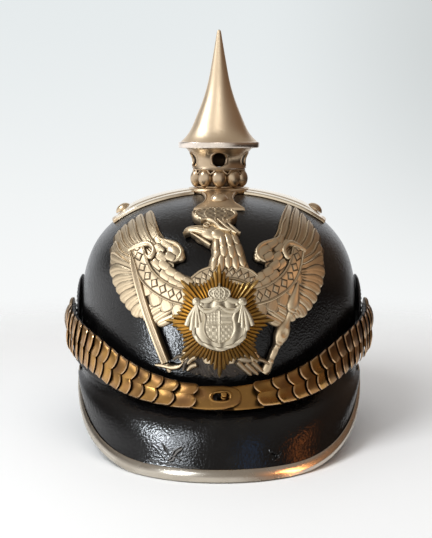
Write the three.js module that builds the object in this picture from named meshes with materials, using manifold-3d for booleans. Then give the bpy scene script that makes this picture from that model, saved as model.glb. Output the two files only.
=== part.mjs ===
// Spiked leather dress helmet with a heraldic eagle plate and a scaled chin strap.
// Millimetres, +Z up. The wearer looks along -Y. The origin is the middle of the footprint on the table.

import * as THREE from "three";
import { mergeVertices } from "three/addons/utils/BufferGeometryUtils.js";
import Module from "manifold-3d";

const wasm = await Module();
wasm.setup();

const GAP = 0.3;
const DEG = Math.PI / 180;
// Step in millimetres over which a surface's slope is taken.
const SLOPE_STEP = 0.3;

// Leather skull: an oval bowl, its widest level above the rim, with a full dome.
const SKULL = {
  halfWidth: 94,
  front: 112,
  back: 118,
  rimZ: 40,
  widestZ: 80,
  topZ: 156,
  fullness: 2.5,
  rimPinch: 0.02,
  wall: 2.6,
  ventRadius: 13,
  sides: 36,
};
const SKULL_OUTER_TILTS = [17, 34, 51, 68];
const SKULL_INNER_TILTS = [28, 58];

// Peaks: leather sheets that leave the rim upright and flare out to their edges.
const PEAK = {
  thick: 2.4,
  flangeTop: 45,
  sweepAt: 0.5,
  shoulder: 0.33,
  flatDeg: 25,
  lastDeg: 86,
  columns: 22,
  rows: 5,
  lastRow: 0.96,
  lipStart: 0.3,
  slopeStep: 0.01,
};
const FRONT_PEAK = { toward: -1, corner: 20, reach: 156, halfWidth: 92, roundness: 0.94, depth: SKULL.front };
const REAR_PEAK = { toward: 1, corner: 18, reach: 157.4, halfWidth: 90, roundness: 1, depth: SKULL.back };
const TRIM = { metal: 0.8, outerLip: 6.8, innerLip: 4 };
const SPINE = {
  half: 7,
  metal: 0.9,
  stand: 0.6,
  topZ: 139.4,
  lowZ: 50,
  lastShare: 0.97,
  skullRows: 9,
  peakRows: 6,
};

// Crown fittings.
const CROSS = {
  half: 16,
  stand: 0.6,
  metal: 1,
  crowning: 0.5,
  rootAt: 17,
  endRound: 6,
  rows: 4,
  columns: 4,
  hubRadius: 27,
  hubTop: 2.6,
  hubSides: 20,
};
const CROSS_ARMS = [
  { name: "front", heading: -90, reach: 64.5, stud: 50 },
  { name: "right", heading: 0, reach: 80, stud: 65 },
  { name: "rear", heading: 90, reach: 82, stud: 66 },
  { name: "left", heading: 180, reach: 80, stud: 65 },
];
const STUD = { radius: 5.6, height: 4, foot: 1, dome: 0.92, domeTilts: [20, 60], sides: 12 };
const RING = { bottom: 159.4, top: 172.6, bore: 13.5, core: 15.6, swell: 4, lobes: 10, strips: 3, rows: 3 };
const RING_BULGE = { from: 0.12, span: 0.76, fullness: 0.6 };
const NECK = { wall: 1.4, holes: 5, holeRadius: 4.3, holeZ: 178.8, holeSides: 8, sides: 20 };
const NECK_ROWS = [
  { z: 172.9, radius: 18.9 },
  { z: 176, radius: 18 },
  { z: 182.4, radius: 19.6 },
  { z: 186.4, radius: 22.8 },
];
const SPIKE = { bottom: 186.7, wall: 1.2, bore: 20.5, ledge: 4, hollow: 66, sides: 20 };
const SPIKE_ROWS = [
  { rise: 0, radius: 27.2 },
  { rise: 2, radius: 28.2 },
  { rise: 3.9, radius: 27.4 },
  { rise: 5.2, radius: 25.2 },
  { rise: 13.2, radius: 19.4 },
  { rise: 22, radius: 15.6 },
  { rise: 34, radius: 10.9 },
  { rise: 46, radius: 7.5 },
  { rise: 60, radius: 4.9 },
  { rise: 74, radius: 2.5 },
  { rise: 80.6, radius: 1.4 },
  { rise: 82.1, radius: 0 },
];

// Chin strap, from the right rosette over the front to the left rosette.
// deg: turn from the front; z: height of the middle line; half: half width;
// lean: backward lean; stand: gap to the skull.
const STRAP_ROWS = [
  { deg: 0, z: 39, half: 8.2, lean: 42, stand: 12 },
  { deg: 10, z: 39.7, half: 8.2, lean: 39, stand: 11.2 },
  { deg: 22, z: 42.7, half: 8.6, lean: 29, stand: 9 },
  { deg: 35, z: 48.6, half: 9.8, lean: 15, stand: 6.8 },
  { deg: 50, z: 57.5, half: 11.4, lean: 6, stand: 5.4 },
  { deg: 70, z: 65, half: 13, lean: 0, stand: 5.5 },
  { deg: 90, z: 68.5, half: 14, lean: 0, stand: 4.6 },
];
const LEATHER = { thick: 1.8, share: 0.84, startAt: 4, centreGap: 1.5, rows: 12 };
const SCALE = {
  metal: 0.8,
  tilt: 0.14,
  crowning: 1.5,
  overlap: 4.4,
  pitch: 8.35,
  widen: 4,
  fade: 1.6,
  notch: 2.8,
  lobeFullness: 0.8,
  columns: 4,
};
const SCALES_LEFT = { name: "left", way: -1, count: 16, firstEnd: 12.6, firstIndex: 0 };
const SCALES_RIGHT = { name: "right", way: 1, count: 15, firstEnd: 20.5, firstIndex: 0 };
const CLASP = { rows: 3, share: 0.96 };
const TONGUE = { from: 16.5, to: -12.6, tilt: 0.075, crowning: 0.8, endRound: 7 };
const TONGUE_SLOT = { length: 10.6, width: 5.2, at: 0.8, sides: 10, from: 1, to: 6 };
const CLASP_PLATE = { from: 24, to: 1, tilt: 0, crowning: 0.2, endRound: 1 };
const CLASP_STUD = { radius: 1.8, at: 2.4, rise: 4.4, bevel: 0.8, top: 0.6, sides: 12 };
const ROSETTE = { z: 68.5, radius: 14.4, sides: 12 };
const ROSETTE_ROWS = [
  { share: 0, rise: 0 },
  { share: 1, rise: 0 },
  { share: 1, rise: 1.4 },
  { share: 0.86, rise: 2.6 },
  { share: 0.72, rise: 2.2 },
  { share: 0.5, rise: 5 },
  { share: 0.24, rise: 6.4 },
  { share: 0, rise: 6.4 },
];
const COCKADE = { z: 73, radius: 26, sides: 18 };
const COCKADE_ROWS = [
  { share: 0, rise: 0 },
  { share: 1, rise: 0 },
  { share: 1, rise: 1.25 },
  { share: 0.8, rise: 2.5 },
  { share: 0.4, rise: 1.75 },
  { share: 0, rise: 1.75 },
];

// Eagle plate. Plate coordinates: u runs to the right around the skull, v up from the rim,
// h out from the leather.
const PLATE = {
  turnRadius: 98,
  leastShare: 0.35,
  stand: 0.8,
  overlay: 1.1,
  wingOverlay: 1.25,
  shoulder: 0.45,
};
const WING = { feathers: 11, edge: 1.9, ridge: 3.2, scallop: 3.4, rows: 3 };
const WING_QUILLS = [
  { root: [38, 89], bend: [45, 105], tip: [54.5, 125] },
  { root: [45, 88], bend: [57, 101], tip: [67, 115] },
  { root: [50, 83], bend: [67, 92], tip: [78, 98] },
  { root: [49, 75], bend: [66, 78], tip: [79, 80] },
  { root: [43, 66], bend: [57, 65], tip: [70, 60] },
  { root: [29, 57], bend: [36, 50], tip: [44, 40.5] },
];
const TAIL = { feathers: 5, edge: 1.9, ridge: 3, scallop: 1.6, rows: 1 };
const TAIL_QUILLS = [
  { root: [-9, 27], bend: [-13, 20], tip: [-18, 14.5] },
  { root: [0, 26], bend: [0, 19], tip: [0, 12.8] },
  { root: [9, 27], bend: [13, 20], tip: [18, 14.5] },
];
// Raised bands of the eagle: points of the middle line, then half width and ridge height along it.
const BODY_BANDS = [
  {
    line: [[0, 22], [0, 45], [0, 66]],
    across: 2,
    stations: [
      { along: 0, half: 10, ridge: 3.8 },
      { along: 0.3, half: 15, ridge: 4.4 },
      { along: 0.7, half: 15, ridge: 4.4 },
      { along: 1, half: 12, ridge: 4.2 },
    ],
  },
  {
    line: [[2, 64], [5, 82], [2, 93], [-4.5, 106]],
    across: 4,
    stations: [
      { along: 0, half: 17, ridge: 4 },
      { along: 0.25, half: 12.5, ridge: 4.6 },
      { along: 0.45, half: 10, ridge: 6.4 },
      { along: 0.65, half: 8.4, ridge: 7.6 },
      { along: 0.85, half: 7.6, ridge: 8.4 },
      { along: 1, half: 3.4, ridge: 6.4 },
    ],
  },
  {
    line: [[-3, 99.5], [-14, 100.8], [-23, 96.6]],
    across: 2,
    stations: [
      { along: 0, half: 5, ridge: 7.4 },
      { along: 0.55, half: 3.9, ridge: 6.6 },
      { along: 0.85, half: 2.8, ridge: 5 },
      { along: 1, half: 0.7, ridge: 3.4 },
    ],
  },
  {
    line: [[-2.5, 105.6], [-2.3, 116], [-2, 125.5]],
    across: 4,
    stations: [
      { along: 0, half: 9, ridge: 7.2 },
      { along: 0.22, half: 9.6, ridge: 6.8 },
      { along: 0.45, half: 13.6, ridge: 7.4 },
      { along: 0.7, half: 11, ridge: 6.6 },
      { along: 0.82, half: 3, ridge: 5.6 },
      { along: 1, half: 2, ridge: 4.6 },
    ],
  },
];
const WING_BANDS = [
  {
    line: [[18, 57.5], [30, 58.5], [37, 62], [45, 67.5], [50, 75], [52, 85]],
    across: 2,
    stations: [
      { along: 0, half: 5.4, ridge: 4 },
      { along: 0.25, half: 5.4, ridge: 4.2 },
      { along: 0.5, half: 6.2, ridge: 4.4 },
      { along: 0.8, half: 6.4, ridge: 4.6 },
      { along: 1, half: 7, ridge: 4.8 },
    ],
  },
  {
    line: [[46, 86], [34, 87], [23.4, 84.4]],
    across: 2,
    stations: [
      { along: 0, half: 6, ridge: 3.4 },
      { along: 0.5, half: 6.8, ridge: 4.6 },
      { along: 0.85, half: 5.4, ridge: 4.8 },
      { along: 1, half: 2, ridge: 3.4 },
    ],
  },
  {
    line: [[47, 78], [32, 70], [14, 66]],
    across: 2,
    stations: [
      { along: 0, half: 6, ridge: 3.2 },
      { along: 0.5, half: 5.6, ridge: 3.6 },
      { along: 1, half: 5, ridge: 3.6 },
    ],
  },
  {
    line: [[10, 31], [18, 25], [27, 17.5]],
    across: 2,
    stations: [
      { along: 0, half: 7, ridge: 3.6 },
      { along: 0.6, half: 5, ridge: 3.8 },
      { along: 1, half: 2.6, ridge: 2.8 },
    ],
  },
];
const SWORD_BAND = {
  line: [[-59.5, 82], [-45.5, 48], [-31, 16]],
  across: 2,
  stations: [
    { along: 0, half: 1, ridge: 4.4 },
    { along: 0.06, half: 2.9, ridge: 5.2 },
    { along: 0.32, half: 2.9, ridge: 5.2 },
    { along: 0.58, half: 2.9, ridge: 5.2 },
    { along: 0.84, half: 2.6, ridge: 4.8 },
    { along: 0.88, half: 7, ridge: 4.6 },
    { along: 0.93, half: 6, ridge: 4.4 },
    { along: 1, half: 2.2, ridge: 3.4 },
  ],
};
const SCEPTRE_BAND = {
  line: [[51.5, 65], [41, 40], [28, 14.5]],
  across: 2,
  stations: [
    { along: 0, half: 0.8, ridge: 4.2 },
    { along: 0.1, half: 2.8, ridge: 5 },
    { along: 0.22, half: 4, ridge: 5.6 },
    { along: 0.42, half: 1.7, ridge: 4.6 },
    { along: 0.62, half: 3.2, ridge: 5 },
    { along: 0.82, half: 1.7, ridge: 4.2 },
    { along: 1, half: 2.4, ridge: 3.4 },
  ],
};

// Breast star and the mantled shield on it.
const STAR = {
  v: 45,
  radius: 32,
  side: 26,
  valley: 0.93,
  points: 8,
  base: 5.1,
  edge: 6,
  middle: 9.2,
  groove: 0.9,
};
const ARMS = {
  base: 9.5,
  across: 4,
  line: [[0, 27], [0, 45], [0, 64.5]],
  stations: [
    { along: 0, half: 2.5, ridge: 10.6 },
    { along: 0.1, half: 11, ridge: 11 },
    { along: 0.3, half: 16, ridge: 11.8 },
    { along: 0.5, half: 17, ridge: 12 },
    { along: 0.68, half: 11, ridge: 11.6 },
    { along: 0.76, half: 7.5, ridge: 11 },
    { along: 0.9, half: 10, ridge: 12 },
    { along: 1, half: 3, ridge: 11 },
  ],
};

const blackLeather = () => new THREE.MeshStandardMaterial({ color: 0x100d0c, roughness: 0.28, metalness: 0 });
const paleGilt = () => new THREE.MeshStandardMaterial({ color: 0xcdb48a, roughness: 0.3, metalness: 1 });
const deepGilt = () => new THREE.MeshStandardMaterial({ color: 0xc08a3c, roughness: 0.32, metalness: 1 });
const silver = () => new THREE.MeshStandardMaterial({ color: 0xc9c5bb, roughness: 0.3, metalness: 1 });
const blackLacquer = () => new THREE.MeshStandardMaterial({ color: 0x0b0b0c, roughness: 0.4, metalness: 0 });

// Welds a geometry, drops collapsed triangles and turns it right side out.
function weld(geometry) {
  geometry.deleteAttribute("normal");
  geometry.deleteAttribute("uv");
  const merged = mergeVertices(geometry, 1e-3);
  const index = merged.index.array;
  const kept = [];
  let volume = 0;
  const corner = [new THREE.Vector3(), new THREE.Vector3(), new THREE.Vector3()];
  for (let i = 0; i < index.length; i += 3) {
    const [a, b, c] = [index[i], index[i + 1], index[i + 2]];
    if (a === b || b === c || c === a) continue;
    kept.push(a, b, c);
    [a, b, c].forEach((vertex, k) => corner[k].fromBufferAttribute(merged.attributes.position, vertex));
    volume += corner[0].dot(corner[1].cross(corner[2]));
  }
  merged.setIndex(volume < 0 ? kept.reverse() : kept);
  merged.computeVertexNormals();
  return merged;
}

// A closed solid between a grid of points on its outer face and the matching grid on its inner face.
function shell(rows, columns, outerAt, innerAt, ring = false) {
  const width = columns + 1;
  const layer = (rows + 1) * width;
  const points = [];
  for (const face of [outerAt, innerAt]) {
    for (let i = 0; i <= rows; i += 1) {
      for (let j = 0; j <= columns; j += 1) points.push(face(i, ring ? j % columns : j));
    }
  }
  const index = [];
  const quad = (a, b, c, d) => index.push(a, b, c, a, c, d);
  for (let i = 0; i < rows; i += 1) {
    for (let j = 0; j < columns; j += 1) {
      const a = i * width + j;
      quad(a, a + 1, a + width + 1, a + width);
      quad(layer + a + width, layer + a + width + 1, layer + a + 1, layer + a);
    }
  }
  for (let j = 0; j < columns; j += 1) {
    const last = rows * width + j;
    quad(j, layer + j, layer + j + 1, j + 1);
    quad(last + 1, layer + last + 1, layer + last, last);
  }
  for (let i = 0; i < rows && !ring; i += 1) {
    const first = i * width;
    const last = first + columns;
    quad(first + width, layer + first + width, layer + first, first);
    quad(last, layer + last, layer + last + width, last + width);
  }
  const geometry = new THREE.BufferGeometry().setFromPoints(points);
  geometry.setIndex(index);
  return weld(geometry);
}

function toManifold(geometry) {
  const mesh = { numProp: 3, vertProperties: new Float32Array(geometry.attributes.position.array) };
  mesh.triVerts = new Uint32Array(geometry.index.array);
  return new wasm.Manifold(new wasm.Mesh(mesh));
}

function fromManifold(manifold) {
  const mesh = manifold.getMesh();
  const geometry = new THREE.BufferGeometry();
  geometry.setAttribute("position", new THREE.BufferAttribute(new Float32Array(mesh.vertProperties), 3));
  geometry.setIndex(Array.from(mesh.triVerts));
  return weld(geometry);
}

const joined = (geometries) => fromManifold(geometries.map(toManifold).reduce((sum, next) => sum.add(next)));

// A turned solid about +Z from a closed list of [radius, height].
function turned(profile, sides) {
  const lathe = new THREE.LatheGeometry(profile.map(([r, z]) => new THREE.Vector2(r, z)), sides);
  return lathe.rotateX(Math.PI / 2);
}

// Moves a solid built on +Z at the origin so that it stands on a point along a direction.
function stand(geometry, point, direction) {
  const turn = new THREE.Quaternion().setFromUnitVectors(new THREE.Vector3(0, 0, 1), direction);
  return geometry.applyQuaternion(turn).translate(point.x, point.y, point.z);
}

const group = new THREE.Group();
group.name = "spiked_dress_helmet";

function add(name, geometry, material) {
  const mesh = new THREE.Mesh(geometry, material);
  mesh.name = name;
  group.add(mesh);
}

// Share of the full oval at a height.
function skullShare(z) {
  if (z < SKULL.widestZ) {
    const drop = (SKULL.widestZ - z) / (SKULL.widestZ - SKULL.rimZ);
    return 1 - SKULL.rimPinch * drop ** 2;
  }
  const rise = Math.min(1, (z - SKULL.widestZ) / (SKULL.topZ - SKULL.widestZ));
  return (1 - rise ** SKULL.fullness) ** (1 / SKULL.fullness);
}

function skullHeight(share) {
  const rise = Math.max(0, 1 - Math.min(1, share) ** SKULL.fullness) ** (1 / SKULL.fullness);
  return SKULL.widestZ + (SKULL.topZ - SKULL.widestZ) * rise;
}

const skullDepth = (phi) => (Math.cos(phi) > 0 ? SKULL.front : SKULL.back);

// Point of the skull; phi turns from the front to the wearer's left, which is +X.
function skullPoint(phi, share, z) {
  const x = SKULL.halfWidth * share * Math.sin(phi);
  return new THREE.Vector3(x, -skullDepth(phi) * share * Math.cos(phi), z);
}

function levelNormal(phi) {
  const x = Math.sin(phi) / SKULL.halfWidth;
  return new THREE.Vector3(x, -Math.cos(phi) / skullDepth(phi), 0).normalize();
}

function crossNormal(at, a, b, step) {
  const alongA = at(a + step, b).sub(at(a - step, b));
  const alongB = at(a, b + step).sub(at(a, b - step));
  return alongA.cross(alongB).normalize();
}

// How far a rounded end falls back at a place k from -1 to 1 across it.
const ROUND_END = 0.96;
const fallBack = (k, depth) => depth * (1 - Math.sqrt(1 - ROUND_END * k * k));

// Point over the dome at plan position x, y, at a distance from the leather.
function onDome(x, y, height) {
  const at = (px, py) => {
    const depth = py < 0 ? SKULL.front : SKULL.back;
    return new THREE.Vector3(px, py, skullHeight(Math.hypot(px / SKULL.halfWidth, py / depth)));
  };
  return at(x, y).addScaledVector(crossNormal(at, x, y, SLOPE_STEP), height);
}

// Front meridian of the skull, from the rim to the crown, with the distance along it.
const MERIDIAN_STEPS = 400;
const MERIDIAN_WALL_STEPS = 120;
const meridian = [];
for (let i = 0; i <= MERIDIAN_STEPS; i += 1) {
  const below = i < MERIDIAN_WALL_STEPS;
  const domeSteps = MERIDIAN_STEPS - MERIDIAN_WALL_STEPS;
  const part = below ? i / MERIDIAN_WALL_STEPS : (i - MERIDIAN_WALL_STEPS) / domeSteps;
  const rise = Math.sin((part * Math.PI) / 2) ** (2 / SKULL.fullness);
  const z = below
    ? SKULL.rimZ + part * (SKULL.widestZ - SKULL.rimZ)
    : SKULL.widestZ + rise * (SKULL.topZ - SKULL.widestZ);
  const share = below ? skullShare(z) : Math.cos((part * Math.PI) / 2) ** (2 / SKULL.fullness);
  const last = meridian[i - 1];
  const step = last ? Math.hypot(SKULL.front * (share - last.share), z - last.z) : 0;
  meridian.push({ distance: last ? last.distance + step : 0, share, z });
}

function meridianAt(v) {
  const found = meridian.findIndex((row) => row.distance >= v);
  const next = Math.max(1, found < 0 ? meridian.length - 1 : found);
  const [low, high] = [meridian[next - 1], meridian[next]];
  const mix = (v - low.distance) / (high.distance - low.distance);
  return { share: low.share + mix * (high.share - low.share), z: low.z + mix * (high.z - low.z) };
}

// Point over the front of the skull in plate coordinates.
function onPlate(u, v, h) {
  const at = (pu, pv) => {
    const row = meridianAt(pv);
    return skullPoint(pu / (PLATE.turnRadius * Math.max(row.share, PLATE.leastShare)), row.share, row.z);
  };
  return at(u, v).addScaledVector(crossNormal(at, u, v, SLOPE_STEP), h);
}

// Skull: its section turned about the axis, then drawn out to an oval.
const UNIT = 100;
const tilted = (tilt) => {
  const share = Math.cos(tilt * DEG) ** (2 / SKULL.fullness);
  return [share * UNIT, skullHeight(share)];
};
const outerSection = [[skullShare(SKULL.rimZ) * UNIT, SKULL.rimZ], [UNIT, SKULL.widestZ]];
outerSection.push(...SKULL_OUTER_TILTS.map(tilted));
outerSection.push([SKULL.ventRadius, skullHeight(SKULL.ventRadius / UNIT)]);
const innerSection = outerSection.slice(0, 2).map(([radius, z]) => [radius - SKULL.wall, z]);
for (const tilt of SKULL_INNER_TILTS) {
  const [radius, z] = tilted(tilt);
  innerSection.push([radius - SKULL.wall * Math.cos(tilt * DEG), z - SKULL.wall * Math.sin(tilt * DEG)]);
}
innerSection.push([SKULL.ventRadius, skullHeight(SKULL.ventRadius / UNIT) - SKULL.wall]);
const skullGeometry = turned([...outerSection, ...innerSection.reverse(), outerSection[0]], SKULL.sides);
const skullPositions = skullGeometry.attributes.position;
for (let i = 0; i < skullPositions.count; i += 1) {
  const y = skullPositions.getY(i);
  skullPositions.setX(i, (skullPositions.getX(i) * SKULL.halfWidth) / UNIT);
  skullPositions.setY(i, (y * (y < 0 ? SKULL.front : SKULL.back)) / UNIT);
}
add("skull", weld(skullGeometry), blackLeather());

// Height of a peak's edge at a turn from the middle of the peak.
function edgeHeight(beta) {
  const rise = Math.max(0, Math.abs(beta) / DEG - PEAK.flatDeg) / (90 - PEAK.flatDeg);
  return SKULL.rimZ * rise ** 2;
}

// Middle layer of a peak: a curve from the flange on the skull to the edge.
function peakCurve(peak, beta) {
  const rim = skullShare(PEAK.flangeTop);
  const seam = Math.acos(peak.corner / (peak.depth * rim));
  const turn = (beta * seam) / (Math.PI / 2);
  const phi = peak.toward < 0 ? turn : Math.PI - turn;
  const foot = skullPoint(phi, rim, PEAK.flangeTop);
  foot.addScaledVector(levelNormal(phi), GAP + PEAK.thick / 2);
  const y = peak.toward * (peak.corner + (peak.reach - peak.corner) * Math.cos(beta));
  const aside = Math.sign(beta) * Math.abs(Math.sin(beta)) ** peak.roundness;
  const edge = new THREE.Vector3(peak.halfWidth * aside, y, edgeHeight(beta));
  const knee = foot.clone().setZ(SKULL.rimZ);
  const sweep = foot.clone().lerp(edge, PEAK.sweepAt);
  sweep.setZ(SKULL.rimZ + (edge.z - SKULL.rimZ) * PEAK.shoulder);
  return new THREE.CubicBezierCurve3(foot, knee, sweep, edge);
}

function peakPoint(peak, beta, s, height) {
  const at = (b, t) => peakCurve(peak, b).getPoint(t);
  return at(beta, s).addScaledVector(crossNormal(at, beta, s, PEAK.slopeStep), height * peak.toward);
}

// Share along the peak's curve at a distance in from its edge.
function peakShare(peak, beta, inset) {
  const curve = peakCurve(peak, beta);
  return Math.max(PEAK.lipStart, 1 - inset / (3 * curve.v3.distanceTo(curve.v2)));
}

const peakTurn = (j) => (j / PEAK.columns - 0.5) * 2 * PEAK.lastDeg * DEG;

// Point where a layer of a peak comes down to a level above its edge, found by sliding along the layer.
const FOOT_SLIDES = 4;
function peakFoot(peak, beta, height, lift) {
  const level = edgeHeight(beta) + lift;
  let s = 1;
  for (let i = 0; i < FOOT_SLIDES; i += 1) {
    const here = peakPoint(peak, beta, s, height).z;
    const beyond = peakPoint(peak, beta, s + PEAK.slopeStep, height).z;
    s += ((level - here) * PEAK.slopeStep) / (beyond - here);
  }
  return peakPoint(peak, beta, s, height).setZ(level);
}

function peakSheet(peak, lift) {
  const face = (height) => (i, j) => {
    const beta = peakTurn(j);
    if (i === PEAK.rows) return peakFoot(peak, beta, height, lift);
    return peakPoint(peak, beta, (i / PEAK.rows) * PEAK.lastRow, height);
  };
  return shell(PEAK.rows, PEAK.columns, face(PEAK.thick / 2), face(-PEAK.thick / 2));
}
add("front_visor", peakSheet(FRONT_PEAK, TRIM.metal + GAP), blackLeather());
add("rear_visor", peakSheet(REAR_PEAK, 0), blackLeather());

// Channel around the front edge: its section is a U that stands on a level foot.
const trimInner = PEAK.thick / 2 + GAP;
const trimOuter = trimInner + TRIM.metal;
function trimSection(beta) {
  const outerTop = peakShare(FRONT_PEAK, beta, TRIM.outerLip);
  const innerTop = peakShare(FRONT_PEAK, beta, TRIM.innerLip);
  const at = (s, height) => peakPoint(FRONT_PEAK, beta, s, height);
  const foot = (height, lift) => peakFoot(FRONT_PEAK, beta, height, lift);
  const layer = (height, lift) => {
    return [at(outerTop, height), foot(height, lift), foot(-height, lift), at(innerTop, -height)];
  };
  return { outer: layer(trimOuter, 0), inner: layer(trimInner, TRIM.metal) };
}
const trimSections = Array.from({ length: PEAK.columns + 1 }, (_, j) => trimSection(peakTurn(j)));
const trimFace = (side) => (i, j) => trimSections[j][side][i];
const trimGeometry = shell(3, PEAK.columns, trimFace("outer"), trimFace("inner"));
add("visor_trim", trimGeometry, paleGilt());

// Spine: a strip down the back of the skull and over the rear peak.
function spinePoint(i, x, height) {
  if (i < SPINE.skullRows) {
    const z = SPINE.topZ + ((SPINE.lowZ - SPINE.topZ) * i) / (SPINE.skullRows - 1);
    const at = (px, pz) => {
      const share = skullShare(pz);
      return new THREE.Vector3(px, SKULL.back * Math.sqrt(share ** 2 - (px / SKULL.halfWidth) ** 2), pz);
    };
    return at(x, z).addScaledVector(crossNormal(at, x, z, SLOPE_STEP), -SPINE.stand - height);
  }
  const s = ((i - SPINE.skullRows) / SPINE.peakRows) * SPINE.lastShare;
  const beta = Math.asin(x / REAR_PEAK.halfWidth);
  return peakPoint(REAR_PEAK, beta, s, PEAK.thick / 2 + SPINE.stand + height);
}
const spineX = (j) => (j - 1) * SPINE.half;
const spineGeometry = shell(
  SPINE.skullRows + SPINE.peakRows,
  2,
  (i, j) => spinePoint(i, spineX(j), SPINE.metal),
  (i, j) => spinePoint(i, spineX(j), 0),
);
add("rear_spine", spineGeometry, paleGilt());

// Cross base: four arms that follow the dome, joined by a thicker hub.
function crossArm({ heading, reach }) {
  const face = (rise, crowning) => (i, j) => {
    const k = (2 * j) / CROSS.columns - 1;
    const end = reach - fallBack(k, CROSS.endRound);
    const along = CROSS.rootAt + ((end - CROSS.rootAt) * i) / CROSS.rows;
    const aside = CROSS.half * k;
    const x = along * Math.cos(heading * DEG) - aside * Math.sin(heading * DEG);
    const y = along * Math.sin(heading * DEG) + aside * Math.cos(heading * DEG);
    return onDome(x, y, CROSS.stand + rise + crowning * (1 - k * k));
  };
  return shell(CROSS.rows, CROSS.columns, face(CROSS.metal, CROSS.crowning), face(0, 0));
}
const hubFace = (rise) => (i, j) => {
  const radius = i === 0 ? SKULL.ventRadius : CROSS.hubRadius;
  const turn = (j / CROSS.hubSides) * 2 * Math.PI;
  return onDome(radius * Math.cos(turn), radius * Math.sin(turn), rise);
};
const hub = shell(1, CROSS.hubSides, hubFace(CROSS.hubTop), hubFace(GAP), true);
add("cross_base", joined([hub, ...CROSS_ARMS.map(crossArm)]), paleGilt());

const studProfile = [[0, 0], [STUD.radius, 0], [STUD.radius, STUD.foot]];
for (const tilt of STUD.domeTilts) {
  const rise = STUD.foot + (STUD.height - STUD.foot) * Math.sin(tilt * DEG);
  studProfile.push([STUD.radius * STUD.dome * Math.cos(tilt * DEG), rise]);
}
studProfile.push([0, STUD.height]);
for (const { name, heading, stud } of CROSS_ARMS) {
  const x = stud * Math.cos(heading * DEG);
  const y = stud * Math.sin(heading * DEG);
  const seat = onDome(x, y, CROSS.stand + CROSS.metal + CROSS.crowning + GAP);
  const out = onDome(x, y, 1).sub(onDome(x, y, 0)).normalize();
  add(`cross_stud_${name}`, weld(stand(turned(studProfile, STUD.sides), seat, out)), paleGilt());
}

// Ring of gadroons: a bored ring whose outside swells once for each lobe.
const RING_COLUMNS = RING.lobes * RING.strips;
const ringPoint = (radius, z, j) => {
  const turn = (j / RING_COLUMNS) * 2 * Math.PI - Math.PI / 2;
  return new THREE.Vector3(radius * Math.cos(turn), radius * Math.sin(turn), z);
};
const ringZ = (i) => RING.bottom + ((RING.top - RING.bottom) * i) / RING.rows;
const ringOuter = (i, j) => {
  const level = RING_BULGE.from + (RING_BULGE.span * i) / RING.rows;
  const upright = Math.sin(level * Math.PI) ** RING_BULGE.fullness;
  const round = j % RING.strips === 0 ? 0 : 1;
  return ringPoint(RING.core + RING.swell * upright * round, ringZ(i), j);
};
const ringInner = (i, j) => ringPoint(RING.bore, ringZ(i), j);
add("pearl_ring", shell(RING.rows, RING_COLUMNS, ringOuter, ringInner, true), paleGilt());

const neckProfile = NECK_ROWS.map(({ z, radius }) => [radius, z]);
neckProfile.push(...NECK_ROWS.map(({ z, radius }) => [radius - NECK.wall, z]).reverse(), neckProfile[0]);
const vents = Array.from({ length: NECK.holes }, (_, k) => {
  const turn = (k / NECK.holes) * 2 * Math.PI - Math.PI / 2;
  const length = 2 * SKULL.ventRadius;
  const drill = new THREE.CylinderGeometry(NECK.holeRadius, NECK.holeRadius, length, NECK.holeSides);
  return weld(drill.rotateZ(Math.PI / 2).translate(length, 0, NECK.holeZ).rotateZ(turn));
});
const plainNeck = toManifold(weld(turned(neckProfile, NECK.sides)));
const drilledNeck = vents.reduce((left, vent) => left.subtract(toManifold(vent)), plainNeck);
add("vent_neck", fromManifold(drilledNeck), paleGilt());

const spikeProfile = SPIKE_ROWS.map(({ rise, radius }) => [radius, SPIKE.bottom + rise]);
const spikeHollowRows = SPIKE_ROWS.filter(({ rise }) => rise > SPIKE.ledge && rise < SPIKE.hollow);
const spikeInside = spikeHollowRows.filter((_, i) => i % 2 === 1);
spikeProfile.push([0, SPIKE.bottom + SPIKE.hollow]);
for (const { rise, radius } of spikeInside.reverse()) {
  spikeProfile.push([radius - SPIKE.wall, SPIKE.bottom + rise]);
}
spikeProfile.push([SPIKE.bore, SPIKE.bottom + SPIKE.ledge], [SPIKE.bore, SPIKE.bottom], spikeProfile[0]);
add("spike", weld(turned(spikeProfile, SPIKE.sides)), paleGilt());

// Feathers side by side as one pleated sheet between curves of roots, bends and tips.
const FAN_STRIPS = 3;
function fan(quills, { feathers, edge, ridge, scallop, rows }, mirror) {
  const curves = ["root", "bend", "tip"].map((key) => {
    const points = quills.map(({ [key]: [u, v] }) => new THREE.Vector2(mirror * u, v));
    return new THREE.SplineCurve(points);
  });
  const columns = feathers * FAN_STRIPS;
  const face = (top) => (i, j) => {
    const [root, bend, tip] = curves.map((curve) => curve.getPoint(j / columns));
    const off = j % FAN_STRIPS === 0 ? 1 : 0;
    const shorten = (scallop * off) / root.distanceTo(tip);
    const point = new THREE.QuadraticBezierCurve(root, bend, tip).getPoint((i / rows) * (1 - shorten));
    const height = top ? edge + (ridge - edge) * (1 - off) : PLATE.stand;
    return onPlate(point.x, point.y, height);
  };
  return shell(rows, columns, face(true), face(false));
}

// A raised band in plate coordinates, thickest along its middle line.
function band({ line, across, stations }, base, mirror = 1) {
  const curve = new THREE.SplineCurve(line.map(([u, v]) => new THREE.Vector2(mirror * u, v)));
  const face = (top) => (i, j) => {
    const { along, half, ridge } = stations[i];
    const point = curve.getPoint(along);
    const way = curve.getTangent(along);
    const k = (2 * j) / across - 1;
    const crown = PLATE.shoulder + (1 - PLATE.shoulder) * (1 - k * k);
    const height = top ? base + (ridge - base) * crown : base;
    return onPlate(point.x - way.y * half * k, point.y + way.x * half * k, height);
  };
  return shell(stations.length - 1, across, face(true), face(false));
}

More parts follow.
